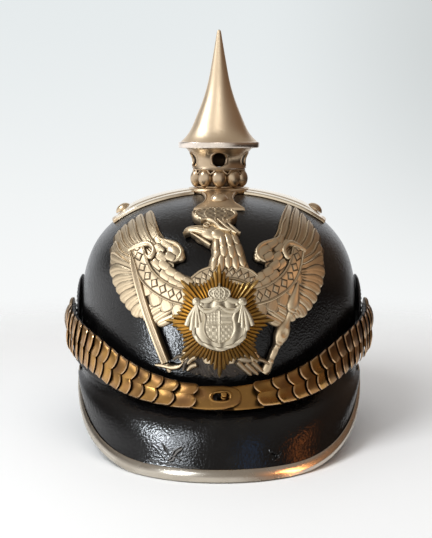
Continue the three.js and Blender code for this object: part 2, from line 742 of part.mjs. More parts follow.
const eagle = [...BODY_BANDS, SWORD_BAND, SCEPTRE_BAND].map((row) => band(row, PLATE.overlay));
for (const mirror of [-1, 1]) {
  eagle.push(fan(WING_QUILLS, WING, mirror));
  eagle.push(...WING_BANDS.map((row) => band(row, PLATE.wingOverlay, mirror)));
}
eagle.push(fan(TAIL_QUILLS, TAIL, 1));
add("eagle_plate", joined(eagle), paleGilt());

// Star: three ridges to each point, the middle one longest, over a flat back.
const STAR_COLUMNS = STAR.points * 6;
const starReach = (j) => {
  if (j % 2 === 1) return STAR.side * STAR.valley;
  return j % 6 === 0 ? STAR.radius : STAR.side;
};
const starFace = (top) => (i, j) => {
  const turn = (j / STAR_COLUMNS) * 2 * Math.PI;
  const reach = (starReach(j) * i) / 2;
  const slope = STAR.middle + ((STAR.edge - STAR.middle) * i) / 2;
  const height = top ? slope - (j % 2 === 1 && i > 0 ? STAR.groove : 0) : STAR.base;
  return onPlate(reach * Math.sin(turn), STAR.v + reach * Math.cos(turn), height);
};
add("breast_star", shell(2, STAR_COLUMNS, starFace(true), starFace(false), true), deepGilt());
add("star_arms", band(ARMS, ARMS.base), silver());

// Value of a strap column at a turn from the front, by a smooth curve through the rows.
function strapValue(key, deg) {
  const next = Math.max(1, STRAP_ROWS.findIndex((row) => row.deg >= deg));
  const [low, high] = [STRAP_ROWS[next - 1], STRAP_ROWS[next]];
  const slopeAt = (i) => {
    if (i === 0) return 0;
    const [before, after] = [STRAP_ROWS[i - 1], STRAP_ROWS[Math.min(i + 1, STRAP_ROWS.length - 1)]];
    return (after[key] - before[key]) / (after.deg - before.deg);
  };
  const span = high.deg - low.deg;
  const t = (deg - low.deg) / span;
  const ease = t * t * (3 - 2 * t);
  const lowSlope = t * (1 - t) ** 2 * span * slopeAt(next - 1);
  const highSlope = t * t * (t - 1) * span * slopeAt(next);
  return low[key] + (high[key] - low[key]) * ease + lowSlope + highSlope;
}

function strapMiddle(deg) {
  const z = strapValue("z", Math.abs(deg));
  const point = skullPoint(deg * DEG, skullShare(z), z);
  return point.addScaledVector(levelNormal(deg * DEG), strapValue("stand", Math.abs(deg)));
}

const STRAP_STEPS = 180;
const STRAP_LAST_DEG = 89.9;
const STRAP_SLOPE_DEG = 0.05;
const strapPath = [];
for (let i = 0; i <= STRAP_STEPS; i += 1) {
  const deg = 90 - (180 * i) / STRAP_STEPS;
  const point = strapMiddle(deg);
  const last = strapPath[i - 1];
  strapPath.push({ deg, point, distance: last ? last.distance + point.distanceTo(last.point) : 0 });
}
const STRAP_HALF_LENGTH = strapPath[STRAP_STEPS].distance / 2;

// Point of the strap at a distance from the middle of the front, toward the wearer's left,
// with an offset across it as a share of its half width and an offset out from it.
function strapPoint(fromCentre, across, out) {
  const distance = STRAP_HALF_LENGTH - fromCentre;
  const next = Math.max(1, strapPath.findIndex((row) => row.distance >= distance));
  const [low, high] = [strapPath[next - 1], strapPath[next]];
  const mix = (distance - low.distance) / (high.distance - low.distance);
  const deg = low.deg + mix * (high.deg - low.deg);
  const lean = strapValue("lean", Math.abs(deg)) * DEG;
  const normal = levelNormal(deg * DEG).multiplyScalar(Math.cos(lean)).setZ(Math.sin(lean));
  const before = strapMiddle(Math.min(STRAP_LAST_DEG, deg + STRAP_SLOPE_DEG));
  const after = strapMiddle(Math.max(-STRAP_LAST_DEG, deg - STRAP_SLOPE_DEG));
  const way = after.sub(before).normalize();
  normal.addScaledVector(way, -normal.dot(way)).normalize();
  const upward = way.clone().cross(normal);
  const middle = low.point.clone().lerp(high.point, mix);
  middle.addScaledVector(upward, across * strapValue("half", Math.abs(deg)));
  return middle.addScaledVector(normal, out);
}

for (const { name, way } of [SCALES_LEFT, SCALES_RIGHT]) {
  const face = (out) => (i, j) => {
    const near = LEATHER.centreGap;
    const far = STRAP_HALF_LENGTH - LEATHER.startAt;
    return strapPoint(way * (near + ((far - near) * i) / LEATHER.rows), LEATHER.share * (2 * j - 1), out);
  };
  add(`strap_leather_${name}`, shell(LEATHER.rows, 1, face(LEATHER.thick), face(0)), blackLeather());
}

// Scale: a crowned plate whose free end has two lobes. It rises toward that end, over the next one's root.
const SCALE_SEAT = LEATHER.thick + GAP;
const lobed = (k) => SCALE.notch * (1 - Math.abs(Math.sin(Math.PI * (k + 1))) ** SCALE.lobeFullness);
function scalePlate(way, freeEnd, length) {
  const face = (rise) => (i, j) => {
    const k = (2 * j) / SCALE.columns - 1;
    const run = (length - lobed(k)) * i;
    const height = SCALE_SEAT + SCALE.tilt * run + SCALE.crowning * (1 - k * k) + rise;
    return strapPoint(way * (freeEnd + length - run), k, height);
  };
  return shell(1, SCALE.columns, face(SCALE.metal), face(0));
}
for (const { name, way, count, firstEnd, firstIndex } of [SCALES_LEFT, SCALES_RIGHT]) {
  let freeEnd = firstEnd;
  for (let i = 0; i < count; i += 1) {
    const pitch = SCALE.pitch + SCALE.widen * Math.exp(-(i + firstIndex) / SCALE.fade);
    const label = String(i + 1).padStart(2, "0");
    add(`scale_${name}_${label}`, scalePlate(way, freeEnd, pitch + SCALE.overlap), deepGilt());
    freeEnd += pitch;
  }
}

// Clasp: a slotted tongue on the left half over the plain end plate of the right half, held by a stud.
function claspSheet(way, { from, to, tilt, crowning, endRound }) {
  const face = (rise) => (i, j) => {
    const k = (2 * j) / SCALE.columns - 1;
    const run = ((from - to - fallBack(k, endRound)) * i) / CLASP.rows;
    const height = SCALE_SEAT + tilt * run + crowning * (1 - k * k) + rise;
    return strapPoint(way * (from - run), CLASP.share * k, height);
  };
  return shell(CLASP.rows, SCALE.columns, face(SCALE.metal), face(0));
}
const slotFace = (out) => (i, j) => {
  const turn = (j / TONGUE_SLOT.sides) * 2 * Math.PI;
  const half = strapValue("half", 0);
  const straight = (Math.sign(Math.cos(turn)) * (TONGUE_SLOT.length - TONGUE_SLOT.width)) / 2;
  const along = i * (straight + (TONGUE_SLOT.width / 2) * Math.cos(turn));
  return strapPoint(TONGUE_SLOT.at + along, (i * (TONGUE_SLOT.width / 2) * Math.sin(turn)) / half, out);
};
const slotTop = slotFace(SCALE_SEAT + TONGUE_SLOT.to);
const slot = shell(1, TONGUE_SLOT.sides, slotTop, slotFace(SCALE_SEAT + TONGUE_SLOT.from), true);
const tongue = claspSheet(SCALES_LEFT.way, TONGUE);
add("clasp_tongue", fromManifold(toManifold(tongue).subtract(toManifold(slot))), deepGilt());
add("clasp_plate", claspSheet(SCALES_RIGHT.way, CLASP_PLATE), deepGilt());
const pinProfile = [[0, 0], [CLASP_STUD.radius, 0], [CLASP_STUD.radius, CLASP_STUD.rise - CLASP_STUD.bevel]];
pinProfile.push([CLASP_STUD.radius * CLASP_STUD.top, CLASP_STUD.rise], [0, CLASP_STUD.rise]);
const pinSeat = strapPoint(CLASP_STUD.at, 0, SCALE_SEAT + SCALE.metal + CLASP_PLATE.crowning + GAP);
const pinWay = pinSeat.clone().sub(strapPoint(CLASP_STUD.at, 0, 0)).normalize();
add("clasp_stud", weld(stand(turned(pinProfile, CLASP_STUD.sides), pinSeat, pinWay)), deepGilt());

// Cockades and rosettes stand on the sides of the skull, on a level axis.
const cockadeProfile = COCKADE_ROWS.map(({ share, rise }) => [COCKADE.radius * share, rise]);
const rosetteProfile = ROSETTE_ROWS.map(({ share, rise }) => [ROSETTE.radius * share, rise]);
const rosetteX = SKULL.halfWidth + STRAP_ROWS[STRAP_ROWS.length - 1].stand + LEATHER.thick + GAP;
for (const [name, way] of [["left", -1], ["right", 1]]) {
  const out = new THREE.Vector3(way, 0, 0);
  const cockadeSeat = new THREE.Vector3(way * (SKULL.halfWidth + GAP), 0, COCKADE.z);
  const rosetteSeat = new THREE.Vector3(way * rosetteX, 0, ROSETTE.z);
  const cockade = stand(turned(cockadeProfile, COCKADE.sides), cockadeSeat, out);
  const rosette = stand(turned(rosetteProfile, ROSETTE.sides), rosetteSeat, out);
  add(`cockade_${name}`, weld(cockade), blackLacquer());
  add(`rosette_${name}`, weld(rosette), deepGilt());
}

export default group;
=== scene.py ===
"""A spiked leather dress helmet with an eagle plate and a scaled chin strap, dressed over its frame.

Shapes are worked out in millimetres and set down in metres, in the frame's own axes:
+Z up, the front peak and the plate toward -Y, +X to the right of someone who faces the plate.
"""

import math
from types import SimpleNamespace as Sizes

import bmesh
import bpy
import numpy as np
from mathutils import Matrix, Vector


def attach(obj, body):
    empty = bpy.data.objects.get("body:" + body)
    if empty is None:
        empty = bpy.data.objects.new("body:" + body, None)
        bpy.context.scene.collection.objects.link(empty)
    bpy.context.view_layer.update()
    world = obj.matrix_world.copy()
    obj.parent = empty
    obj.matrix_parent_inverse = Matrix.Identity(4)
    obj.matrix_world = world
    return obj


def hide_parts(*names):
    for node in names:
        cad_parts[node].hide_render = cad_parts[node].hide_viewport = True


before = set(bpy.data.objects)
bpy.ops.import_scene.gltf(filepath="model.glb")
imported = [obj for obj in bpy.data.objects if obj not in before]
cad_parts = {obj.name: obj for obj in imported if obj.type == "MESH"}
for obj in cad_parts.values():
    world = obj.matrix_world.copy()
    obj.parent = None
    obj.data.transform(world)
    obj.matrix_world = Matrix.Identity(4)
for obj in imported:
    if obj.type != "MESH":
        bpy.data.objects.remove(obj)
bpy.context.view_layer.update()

MM = 0.001
GAP = 0.3

# Leather skull and peaks
SKULL = Sizes(half_width=94, front=112, back=118, rim_z=40, widest_z=80, top_z=156, fullness=2.5,
              rim_pinch=0.02, wall=2.6, vent=13)
PEAK = Sizes(thick=2.4, flange_top=45, sweep_at=0.5, shoulder=0.33, flat_deg=25, last_deg=86)
FRONT_PEAK = Sizes(toward=-1, corner=20, reach=156, half_width=92, roundness=0.94, depth=SKULL.front,
                   swell=1.8)
REAR_PEAK = Sizes(toward=1, corner=18, reach=157.4, half_width=90, roundness=1, depth=SKULL.back, swell=0)
TRIM = Sizes(metal=0.8, outer_lip=6.8, inner_lip=4, clear=0.5)
SPINE = Sizes(half=7, metal=0.9, stand=0.6, top_z=139.4, low_z=50, last_share=0.97)

# Crown fittings
CROSS = Sizes(stand=0.6, metal=1, root_at=17, end_round=2.2)
# Half widths of the arms from root to end
FRONT_ARM_HALF = [12.5, 11, 9.8, 9.4, 11, 16.6]
SIDE_ARM_HALF = [17.5, 21, 24, 25.4, 25, 22]
# Arms: name, heading in degrees, reach, place of the stud
CROSS_ARMS = [("front", -90, 64.5, 50), ("right", 0, 73, 65), ("rear", 90, 75, 66), ("left", 180, 73, 65)]
# Hub under the ring: radius, height over the dome
HUB_RINGS = [(13, 1.4), (14.5, 2.6), (17, 3.5), (19, 4), (20.6, 3.8), (21.6, 2.8), (22, 1.2)]
RING = Sizes(bottom=159.4, top=172.6, bore=13.5, core=15.4, lobes=10)
NECK = Sizes(wall=1.4, holes=5, hole_radius=4.8, hole_z=178.8, waist_radius=18.7)
# Neck and spike: height, radius
NECK_ROWS = [(172.9, 18.9), (176, 18), (182.4, 19.6), (186.4, 22.8)]
SPIKE_TIP = 82.1
SPIKE = Sizes(bottom=186.7, wall=1.2, bore=20.5, ledge=4, hollow=66)
SPIKE_RIM = [(0, 27.2), (0.1, 27.8), (0.6, 28.15), (3.7, 28.2), (4.1, 28), (4.2, 27.2)]
SPIKE_CONE = [
    (4.4, 26.4), (8, 22.8), (13.2, 19.4), (22, 15.6), (34, 10.9),
    (46, 7.5), (60, 4.9), (74, 2.5), (80.6, 1.4), (82, 0.5),
]

# Chin strap: turn from the front, height, half width, backward lean, stand off the skull
STRAP_ROWS = np.array([
    (0, 39, 8.2, 42, 12),
    (10, 39.7, 8.2, 39, 11.2),
    (22, 42.7, 8.6, 29, 9),
    (35, 48.6, 9.8, 15, 6.8),
    (50, 57.5, 11.4, 6, 5.4),
    (70, 65, 13, 0, 5.5),
    (90, 68.5, 14, 0, 4.6),
])
STRAP_Z, STRAP_HALF, STRAP_LEAN, STRAP_STAND = 1, 2, 3, 4
LEATHER = Sizes(thick=1.8, share=0.84, start_at=4, centre_gap=1.5)
SCALE = Sizes(metal=0.8, tilt=0.14, crowning=1.5, overlap=4.4, pitch=8.35, widen=4, fade=1.6, notch=2.8)
SCALE_SEAT = LEATHER.thick + GAP
SCALES_LEFT = Sizes(name="left", way=-1, count=16, first_end=12.6)
SCALES_RIGHT = Sizes(name="right", way=1, count=15, first_end=20.5)
TONGUE = Sizes(start=16.5, end=-12.6, tilt=0.075, crowning=0.8, slot_length=9.4, slot_width=5, slot_at=0.8,
               tarnish=0.38)
CLASP_PLATE = Sizes(start=24, end=1, crowning=0.2, tarnish=0.22)
CLASP_STUD = Sizes(radius=1.8, at=2.4, rise=4.4)
ROSETTE = Sizes(z=68.5, radius=14.4, petals=12)
COCKADE = Sizes(z=73, radius=26, pleats=40)

# Eagle plate: u to the right around the skull, v up from the rim, h out from the leather
PLATE = Sizes(turn_radius=98, least_share=0.35, stand=0.8, over=1.2)
STAR = Sizes(v=45, base=5.1, edge=6.2, middle=9.2, rays=64)
ARMS = Sizes(base=9.6)


# Curves

def along(points, share):
    """Point on a smooth curve through a list of points, at a share of its spans."""
    points = np.asarray(points, float)
    spans = len(points) - 1
    place = np.clip(np.asarray(share, float), 0, 1) * spans
    i = np.minimum(place.astype(int), spans - 1)
    f = (place - i).reshape(place.shape + (1,) * (points.ndim - 1))
    a, b, c, d = points[np.maximum(i - 1, 0)], points[i], points[i + 1], points[np.minimum(i + 2, spans)]
    return b + 0.5 * f * (c - a + f * (2 * a - 5 * b + 4 * c - d + f * (3 * (b - c) + d - a)))


def bend(points, share):
    """Point on the Bezier curve of a list of control points."""
    share = np.asarray(share, float)[..., None]
    row = [np.asarray(p, float) for p in points]
    while len(row) > 1:
        row = [(1 - share) * a + share * b for a, b in zip(row, row[1:])]
    return row[0]


def ease(x):
    """Smooth step from 0 to 1."""
    x = np.clip(x, 0, 1)
    return x * x * (3 - 2 * x)


def bump(x, middle, width):
    """Bell-shaped rise to 1."""
    return np.exp(-(((x - middle) / width) ** 2))


def rounded(k, share=1.0, fullness=0.5):
    """Round section across a strip: 1 in the middle, falling to its sides."""
    return np.clip(1 - share * k ** 2, 0, 1) ** fullness


def full_turn(count):
    """Even angles all the way around."""
    return np.linspace(0, 2 * np.pi, count, endpoint=False)


def unit(vectors):
    """Vectors of length one."""
    return vectors / np.maximum(np.linalg.norm(vectors, axis=-1, keepdims=True), 1e-12)


def stack(*parts):
    """Coordinates side by side, spread to one shape."""
    return np.stack(np.broadcast_arrays(*parts), -1)


def lifted(surface, a, b, height, step):
    """Point of a surface moved out along its normal."""
    way_a = surface(a + step, b) - surface(a - step, b)
    way_b = surface(a, b + step) - surface(a, b - step)
    normal = unit(np.cross(way_a, way_b))
    return surface(a, b) + normal * np.asarray(height, float)[..., None]


# Solids: points in millimetres, four-cornered faces, and a recess value per point, which paints shade mixed
# with grime where it is high and pales the colour where it is below zero

def solid(points, faces, recess=0.0):
    """A body whose points carry a recess value that paints their shade; tarnish and painted shade are set
    later.
    """
    count = len(points)
    deep = np.broadcast_to(np.reshape(recess, -1), count).astype(float)
    return Sizes(points=points, faces=faces, recess=deep, tarnish=np.zeros(count))


def joined(solids):
    """Several solids as one."""
    starts = np.cumsum([0] + [len(s.points) for s in solids])
    whole = solid(
        np.concatenate([s.points for s in solids]),
        np.concatenate([s.faces + start for s, start in zip(solids, starts)]),
        np.concatenate([s.recess for s in solids]),
    )
    whole.tarnish = np.concatenate([s.tarnish for s in solids])
    return whole


def quads(index, wrap_rows, wrap_columns):
    """Faces between the rows and columns of a grid of point numbers."""
    down = np.roll(index, -1, 0)
    right = np.roll(index, -1, 1)
    across = np.roll(down, -1, 1)
    rows = len(index) if wrap_rows else len(index) - 1
    columns = index.shape[1] if wrap_columns else index.shape[1] - 1
    corners = [g[:rows, :columns].reshape(-1) for g in (index, right, across, down)]
    return np.stack(corners, -1)


def shell(outer, inner, ring=False, recess=0.0):
    """Closed solid between two matching grids of points."""
    rows, columns = outer.shape[:2]
    front = np.arange(rows * columns).reshape(rows, columns)
    back = front + rows * columns
    faces = [quads(front, False, ring), quads(back, False, ring)[:, ::-1]]
    for row in (0, -1):
        faces.append(quads(np.stack([front[row], back[row]]), False, ring))
    if not ring:
        for column in (0, -1):
            faces.append(quads(np.stack([front[:, column], back[:, column]]), False, False))
    # Inner points are painted fully dark, so the walls of a raised part carry painted shade
    deep = np.concatenate([np.broadcast_to(recess, (rows, columns)).reshape(-1), np.ones(rows * columns)])
    points = np.concatenate([outer.reshape(-1, 3), inner.reshape(-1, 3)])
    return solid(points, np.concatenate(faces), deep)


def relief(outer, inner, recess):
    """Closed solid under a fine grid of points, with a back of only three columns."""
    rows, columns = outer.shape[:2]
    front = np.arange(rows * columns).reshape(rows, columns)
    back = rows * columns + np.arange(rows * 3).reshape(rows, 3)
    faces = [quads(front, False, False), quads(back, False, False)[:, ::-1]]
    for column in (0, -1):
        faces.append(quads(np.stack([front[:, column], back[:, column]]), False, False))
    for row in (0, -1):
        edge = np.concatenate([back[row, :1], front[row], back[row, 2:]])
        middle = np.full(len(edge) - 1, back[row, 1])
        faces.append(np.stack([edge[:-1], edge[1:], middle, middle], -1))
    # Back points are painted fully dark, so the walls of the relief carry painted shade
    deep = np.concatenate([np.broadcast_to(recess, (rows, columns)).reshape(-1), np.ones(rows * 3)])
    points = np.concatenate([outer.reshape(-1, 3), inner.reshape(-1, 3)])
    return solid(points, np.concatenate(faces), deep)


def wrapped(points, recess=0.0):
    """Closed solid from a grid that closes both ways, like a ring."""
    rows, columns = points.shape[:2]
    index = np.arange(rows * columns).reshape(rows, columns)
    deep = np.broadcast_to(recess, (rows, columns)).reshape(-1)
    return solid(points.reshape(-1, 3), quads(index, True, True), deep)


def swept(sections, recess=0.0):
    """Closed solid from a row of closed sections, with an end sheet on the first and last."""
    stations, corners = sections.shape[:2]
    index = np.arange(stations * corners).reshape(stations, corners)
    points = [sections.reshape(-1, 3)]
    faces = [quads(index, False, True)]
    for number, row in enumerate((0, -1)):
        middle = stations * corners + number
        points.append(sections[row].mean(0)[None])
        fan = np.stack([index[row], np.roll(index[row], -1)])
        faces.append(np.stack([fan[0], fan[1], np.full(corners, middle), np.full(corners, middle)], -1))
    deep = np.broadcast_to(recess, (stations, corners)).reshape(-1)
    return solid(np.concatenate(points), np.concatenate(faces), np.concatenate([deep, [1, 1]]))


def softened(profile, radius, steps=5):
    """Closed outline with each corner turned into a small curve."""
    profile = np.asarray(profile, float)
    rounded = []
    for before, here, after in zip(np.roll(profile, 1, 0), profile, np.roll(profile, -1, 0)):
        if here[0] <= 1e-6:
            rounded.append(here[None])
            continue
        arms = [before - here, after - here]
        lengths = [np.linalg.norm(arm) for arm in arms]
        ends = [here + arm * min(radius / length, 0.45) for arm, length in zip(arms, lengths)]
        rounded.append(bend([ends[0], here, ends[1]], np.linspace(0, 1, steps)))
    return np.concatenate(rounded)


def turned(profile, sides=96, recess=0.0):
    """Solid turned about +Z from a closed outline of (radius, height)."""
    profile = np.asarray(profile, float)
    angle = full_turn(sides)
    radius, height = profile[:, :1], profile[:, 1:]
    return wrapped(stack(radius * np.cos(angle), radius * np.sin(angle), height),
                   np.reshape(recess, (-1, 1)))


def stood(body, point, direction):
    """Solid built on +Z, set on a point along a direction."""
    z = unit(np.asarray(direction, float))
    helper = np.array([0.0, 0.0, 1.0]) if abs(z[2]) < 0.9 else np.array([0.0, 1.0, 0.0])
    x = unit(np.cross(helper, z))
    turn = np.stack([x, np.cross(z, x), z])
    body.points = body.points @ turn + np.asarray(point, float)
    return body


# Finishes

class Graph:
    """Short hand for a node tree."""

    def __init__(self, tree):
        self.tree = tree

    def feed(self, socket, value):
        """Links a value to a socket, or sets the socket to it."""
        if isinstance(value, bpy.types.NodeSocket):
            self.tree.links.new(value, socket)
        else:
            socket.default_value = value

    def add(self, kind, inputs=None, **values):
        node = self.tree.nodes.new(kind)
        for name, value in values.items():
            setattr(node, name, value)
        for name, value in (inputs or {}).items():
            self.feed(node.inputs[name], value)
        return node

    def math(self, operation, a, b=0.0, clamp=False):
        return self.add("ShaderNodeMath", {0: a, 1: b}, operation=operation, use_clamp=clamp).outputs[0]

    def ramp(self, value, low, high):
        sockets = {"Value": value, "From Min": low, "From Max": high}
        return self.add("ShaderNodeMapRange", sockets, interpolation_type="SMOOTHSTEP").outputs["Result"]

    def mix(self, share, a, b):
        node = self.add("ShaderNodeMix", data_type="RGBA")
        for name, kind, value in (("Factor", "VALUE", share), ("A", "RGBA", a), ("B", "RGBA", b)):
            self.feed(next(s for s in node.inputs if s.name == name and s.type == kind), value)
        return next(s for s in node.outputs if s.type == "RGBA")


def effect(name, inputs, outputs):
    """An empty node group with named number sockets; returns its graph, input node and output node."""
    tree = bpy.data.node_groups.new(name, "ShaderNodeTree")
    for label, value in inputs.items():
        tree.interface.new_socket(label, in_out="INPUT",
                                  socket_type="NodeSocketFloat").default_value = value
    for label in outputs:
        tree.interface.new_socket(label, in_out="OUTPUT", socket_type="NodeSocketFloat")
    graph = Graph(tree)
    return graph, graph.add("NodeGroupInput").outputs, graph.add("NodeGroupOutput")


def wear_and_shade_effect():
    """Clouds of dulled metal, painted dark shade mixed with grime in recesses, fine scratches and small pits.
    """
    graph, given, result = effect(
        "metal_tarnish",
        {"Recess": 0.0, "Cloud Scale": 45.0, "Grime": 0.6},
        ["Dull", "Dark", "Scratch", "Pit"],
    )
    place = graph.add("ShaderNodeTexCoord").outputs["Object"]
    cloud = graph.add("ShaderNodeTexNoise", {"Vector": place, "Scale": given["Cloud Scale"], "Detail": 5.0})
    speck = graph.add("ShaderNodeTexNoise", {"Vector": place, "Scale": 520.0, "Detail": 3.0})
    brushed = {"Vector": place, "Scale": (900.0, 900.0, 90.0), "Rotation": (0.3, 0.5, 0.2)}
    stretch = graph.add("ShaderNodeMapping", brushed)
    hair = graph.add("ShaderNodeTexNoise", {"Vector": stretch.outputs[0], "Scale": 1.0, "Detail": 2.0})
    rough_recess = graph.math("ADD", given["Recess"], graph.math("MULTIPLY", speck.outputs[0], 0.35))
    dark = graph.math("MULTIPLY", graph.ramp(rough_recess, 0.45, 1.15), given["Grime"], True)
    graph.feed(result.inputs["Dull"], graph.ramp(cloud.outputs[0], 0.40, 0.72))
    graph.feed(result.inputs["Dark"], dark)
    graph.feed(result.inputs["Scratch"], hair.outputs[0])
    graph.feed(result.inputs["Pit"], graph.ramp(speck.outputs[0], 0.58, 0.74))
    return graph.tree


def leather_effect():
    """Fine pebble grain, soft waves of the hand-worked leather and rubbed patches."""
    graph, given, result = effect(
        "leather_grain",
        {"Grain Scale": 780.0, "Wave Scale": 38.0},
        ["Grain", "Wave", "Rub"],
    )
    place = graph.add("ShaderNodeTexCoord").outputs["Object"]
    pebble = {"Vector": place, "Scale": given["Grain Scale"]}
    cell = graph.add("ShaderNodeTexVoronoi", pebble, feature="SMOOTH_F1")
    fine = graph.add("ShaderNodeTexNoise", {"Vector": place, "Scale": 1500.0, "Detail": 2.0})
    wave = graph.add("ShaderNodeTexNoise", {"Vector": place, "Scale": given["Wave Scale"], "Detail": 3.0})
    rub = graph.add("ShaderNodeTexNoise",
                    {"Vector": place, "Scale": 26.0, "Detail": 6.0, "Roughness": 0.65})
    grain = graph.math("ADD", cell.outputs["Distance"], graph.math("MULTIPLY", fine.outputs[0], 0.5))
    graph.feed(result.inputs["Grain"], grain)
    graph.feed(result.inputs["Wave"], wave.outputs[0])
    graph.feed(result.inputs["Rub"], graph.ramp(rub.outputs[0], 0.52, 0.78))
    return graph.tree


TORN_HIDE_AND_GLINT = (0.36, 0.355, 0.35)
WEAR_AND_SHADE = wear_and_shade_effect()
GRAIN = leather_effect()


def new_finish(name):
    """An empty material, its graph and its shader."""
    material = bpy.data.materials.new(name)
    material.use_nodes = True
    graph = Graph(material.node_tree)
    return material, graph, material.node_tree.nodes["Principled BSDF"]


def metal_finish(name, bright, dull, dark, rubbed, roughness, shade_and_grime, cloud_scale=45.0, tarnish=None):
    """Worn metal: bright on the high places, paled where the recess value is below zero, dulled in patches,
    painted dark in the recesses as shade mixed with grime.
    """
    material, graph, shader = new_finish(name)
    recess = graph.add("ShaderNodeAttribute", attribute_name="recess").outputs["Fac"]
    values = {"Recess": recess, "Cloud Scale": cloud_scale, "Grime": shade_and_grime}
    darkening = graph.add("ShaderNodeGroup", values, node_tree=WEAR_AND_SHADE).outputs
    colour = graph.mix(graph.math("MULTIPLY", darkening["Dull"], 0.6), (*bright, 1), (*dull, 1))
    rough = graph.math("ADD", graph.math("MULTIPLY", darkening["Dull"], 0.10), roughness)
    if tarnish:
        old = graph.add("ShaderNodeAttribute", attribute_name="tarnish").outputs["Fac"]
        old = graph.math("MULTIPLY", old,
                         graph.math("SUBTRACT", 1.0, graph.math("MULTIPLY", darkening["Pit"], 0.5)))
        colour = graph.mix(old, colour, (*tarnish, 1))
        rough = graph.math("ADD", rough, graph.math("MULTIPLY", old, 0.24))
    # Paled where the recess value is below zero: rubbed metal at some places, a painted highlight at others
    paled = graph.ramp(recess, -0.15, -0.9)
    colour = graph.mix(paled, colour, (*rubbed, 1))
    rough = graph.math("SUBTRACT", rough, graph.math("MULTIPLY", paled, 0.16))
    # Painted shade mixed with grime darkens the recesses
    colour = graph.mix(darkening["Dark"], colour, (*dark, 1))
    rough = graph.math("ADD", rough, graph.math("MULTIPLY", darkening["Dark"], 0.25))
    height = graph.math("SUBTRACT", graph.math("MULTIPLY", darkening["Scratch"], 0.35), darkening["Pit"])
    scratches = graph.add("ShaderNodeBump", {"Strength": 0.12, "Distance": 0.0004, "Height": height})
    graph.feed(shader.inputs["Base Color"], colour)
    graph.feed(shader.inputs["Roughness"], rough)
    graph.feed(shader.inputs["Normal"], scratches.outputs[0])
    shader.inputs["Metallic"].default_value = 1.0
    return material


def leather_finish(name, colour, rubbed, roughness, grain, wave):
    """Black lacquered leather: glossy over a fine grain, rubbed brown in places, pale on torn lips as torn
    fibres and a painted glint.
    """
    material, graph, shader = new_finish(name)
    skin = graph.add("ShaderNodeGroup", node_tree=GRAIN).outputs
    recess = graph.add("ShaderNodeAttribute", attribute_name="recess").outputs["Fac"]
    shade = graph.mix(skin["Rub"], (*colour, 1), (*rubbed, 1))
    # Lips of tears are painted pale, as torn fibres and a painted glint
    shade = graph.mix(graph.ramp(recess, -0.2, -0.9), shade, (*TORN_HIDE_AND_GLINT, 1))
    rough = graph.math("ADD", graph.math("MULTIPLY", skin["Rub"], 0.14), roughness)
    rough = graph.math("ADD", rough, graph.math("MULTIPLY", graph.ramp(recess, 0.2, 0.8), 0.6))
    soft = graph.add("ShaderNodeBump", {"Strength": wave, "Distance": 0.004, "Height": skin["Wave"]})
    pebbled = {"Strength": grain, "Distance": 0.0005, "Height": skin["Grain"], "Normal": soft.outputs[0]}
    fine = graph.add("ShaderNodeBump", pebbled)
    graph.feed(shader.inputs["Base Color"], shade)
    graph.feed(shader.inputs["Roughness"], rough)
    graph.feed(shader.inputs["Normal"], fine.outputs[0])
    shader.inputs["Specular IOR Level"].default_value = 0.34
    return material


LACQUER = (0.0024, 0.0022, 0.0023)
LACQUER_RUBBED = (0.0055, 0.005, 0.0045)
black_leather = leather_finish(
    "black_lacquered_leather", LACQUER, LACQUER_RUBBED, roughness=0.23, grain=0.40, wave=0.045)
peak_leather = leather_finish(
    "black_peak_leather", LACQUER, LACQUER_RUBBED, roughness=0.16, grain=0.30, wave=0.07)
strap_hide = leather_finish(
    "strap_leather", (0.010, 0.008, 0.007), (0.030, 0.021, 0.014), roughness=0.45, grain=0.4, wave=0.2)
black_lacquer = leather_finish(
    "black_cockade_lacquer", (0.007, 0.007, 0.008), (0.02, 0.019, 0.018), roughness=0.36, grain=0.12,
    wave=0.1)
pale_gilt = metal_finish(
    "pale_gilt", bright=(0.74, 0.58, 0.39), dull=(0.57, 0.42, 0.27), dark=(0.075, 0.048, 0.028),
    rubbed=(0.84, 0.74, 0.58), roughness=0.31, shade_and_grime=0.8)
spike_gilt = metal_finish(
    "spike_gilt", bright=(0.82, 0.66, 0.47), dull=(0.74, 0.58, 0.40), dark=(0.08, 0.05, 0.03),
    rubbed=(0.84, 0.75, 0.66), roughness=0.34, shade_and_grime=0.7, cloud_scale=25.0)
plate_gilt = metal_finish(
    "plate_gilt", bright=(0.63, 0.505, 0.34), dull=(0.49, 0.375, 0.24), dark=(0.085, 0.060, 0.040),
    rubbed=(0.86, 0.76, 0.58), roughness=0.34, shade_and_grime=0.9, cloud_scale=60.0, tarnish=(0.085, 0.074, 0.066))
star_gilt = metal_finish(
    "star_gilt", bright=(0.66, 0.45, 0.165), dull=(0.47, 0.29, 0.09), dark=(0.075, 0.033, 0.011),
    rubbed=(0.90, 0.70, 0.34), roughness=0.30, shade_and_grime=0.95, cloud_scale=70.0, tarnish=(0.20, 0.115, 0.05))
deep_gilt = metal_finish(
    "deep_gilt", bright=(0.50, 0.275, 0.080), dull=(0.40, 0.195, 0.085), dark=(0.014, 0.007, 0.004),
    rubbed=(0.68, 0.45, 0.26), roughness=0.25, shade_and_grime=0.98, cloud_scale=85.0, tarnish=(0.085, 0.042, 0.022))
old_gilt = metal_finish(
    "old_gilt", bright=(0.30, 0.22, 0.145), dull=(0.20, 0.14, 0.09), dark=(0.03, 0.02, 0.012),
    rubbed=(0.5, 0.4, 0.28), roughness=0.38, shade_and_grime=0.9, cloud_scale=55.0)
silver = metal_finish(
    "silver", bright=(0.62, 0.545, 0.41), dull=(0.49, 0.42, 0.305), dark=(0.10, 0.075, 0.048),
    rubbed=(0.80, 0.75, 0.63), roughness=0.40, shade_and_grime=0.9, cloud_scale=70.0)
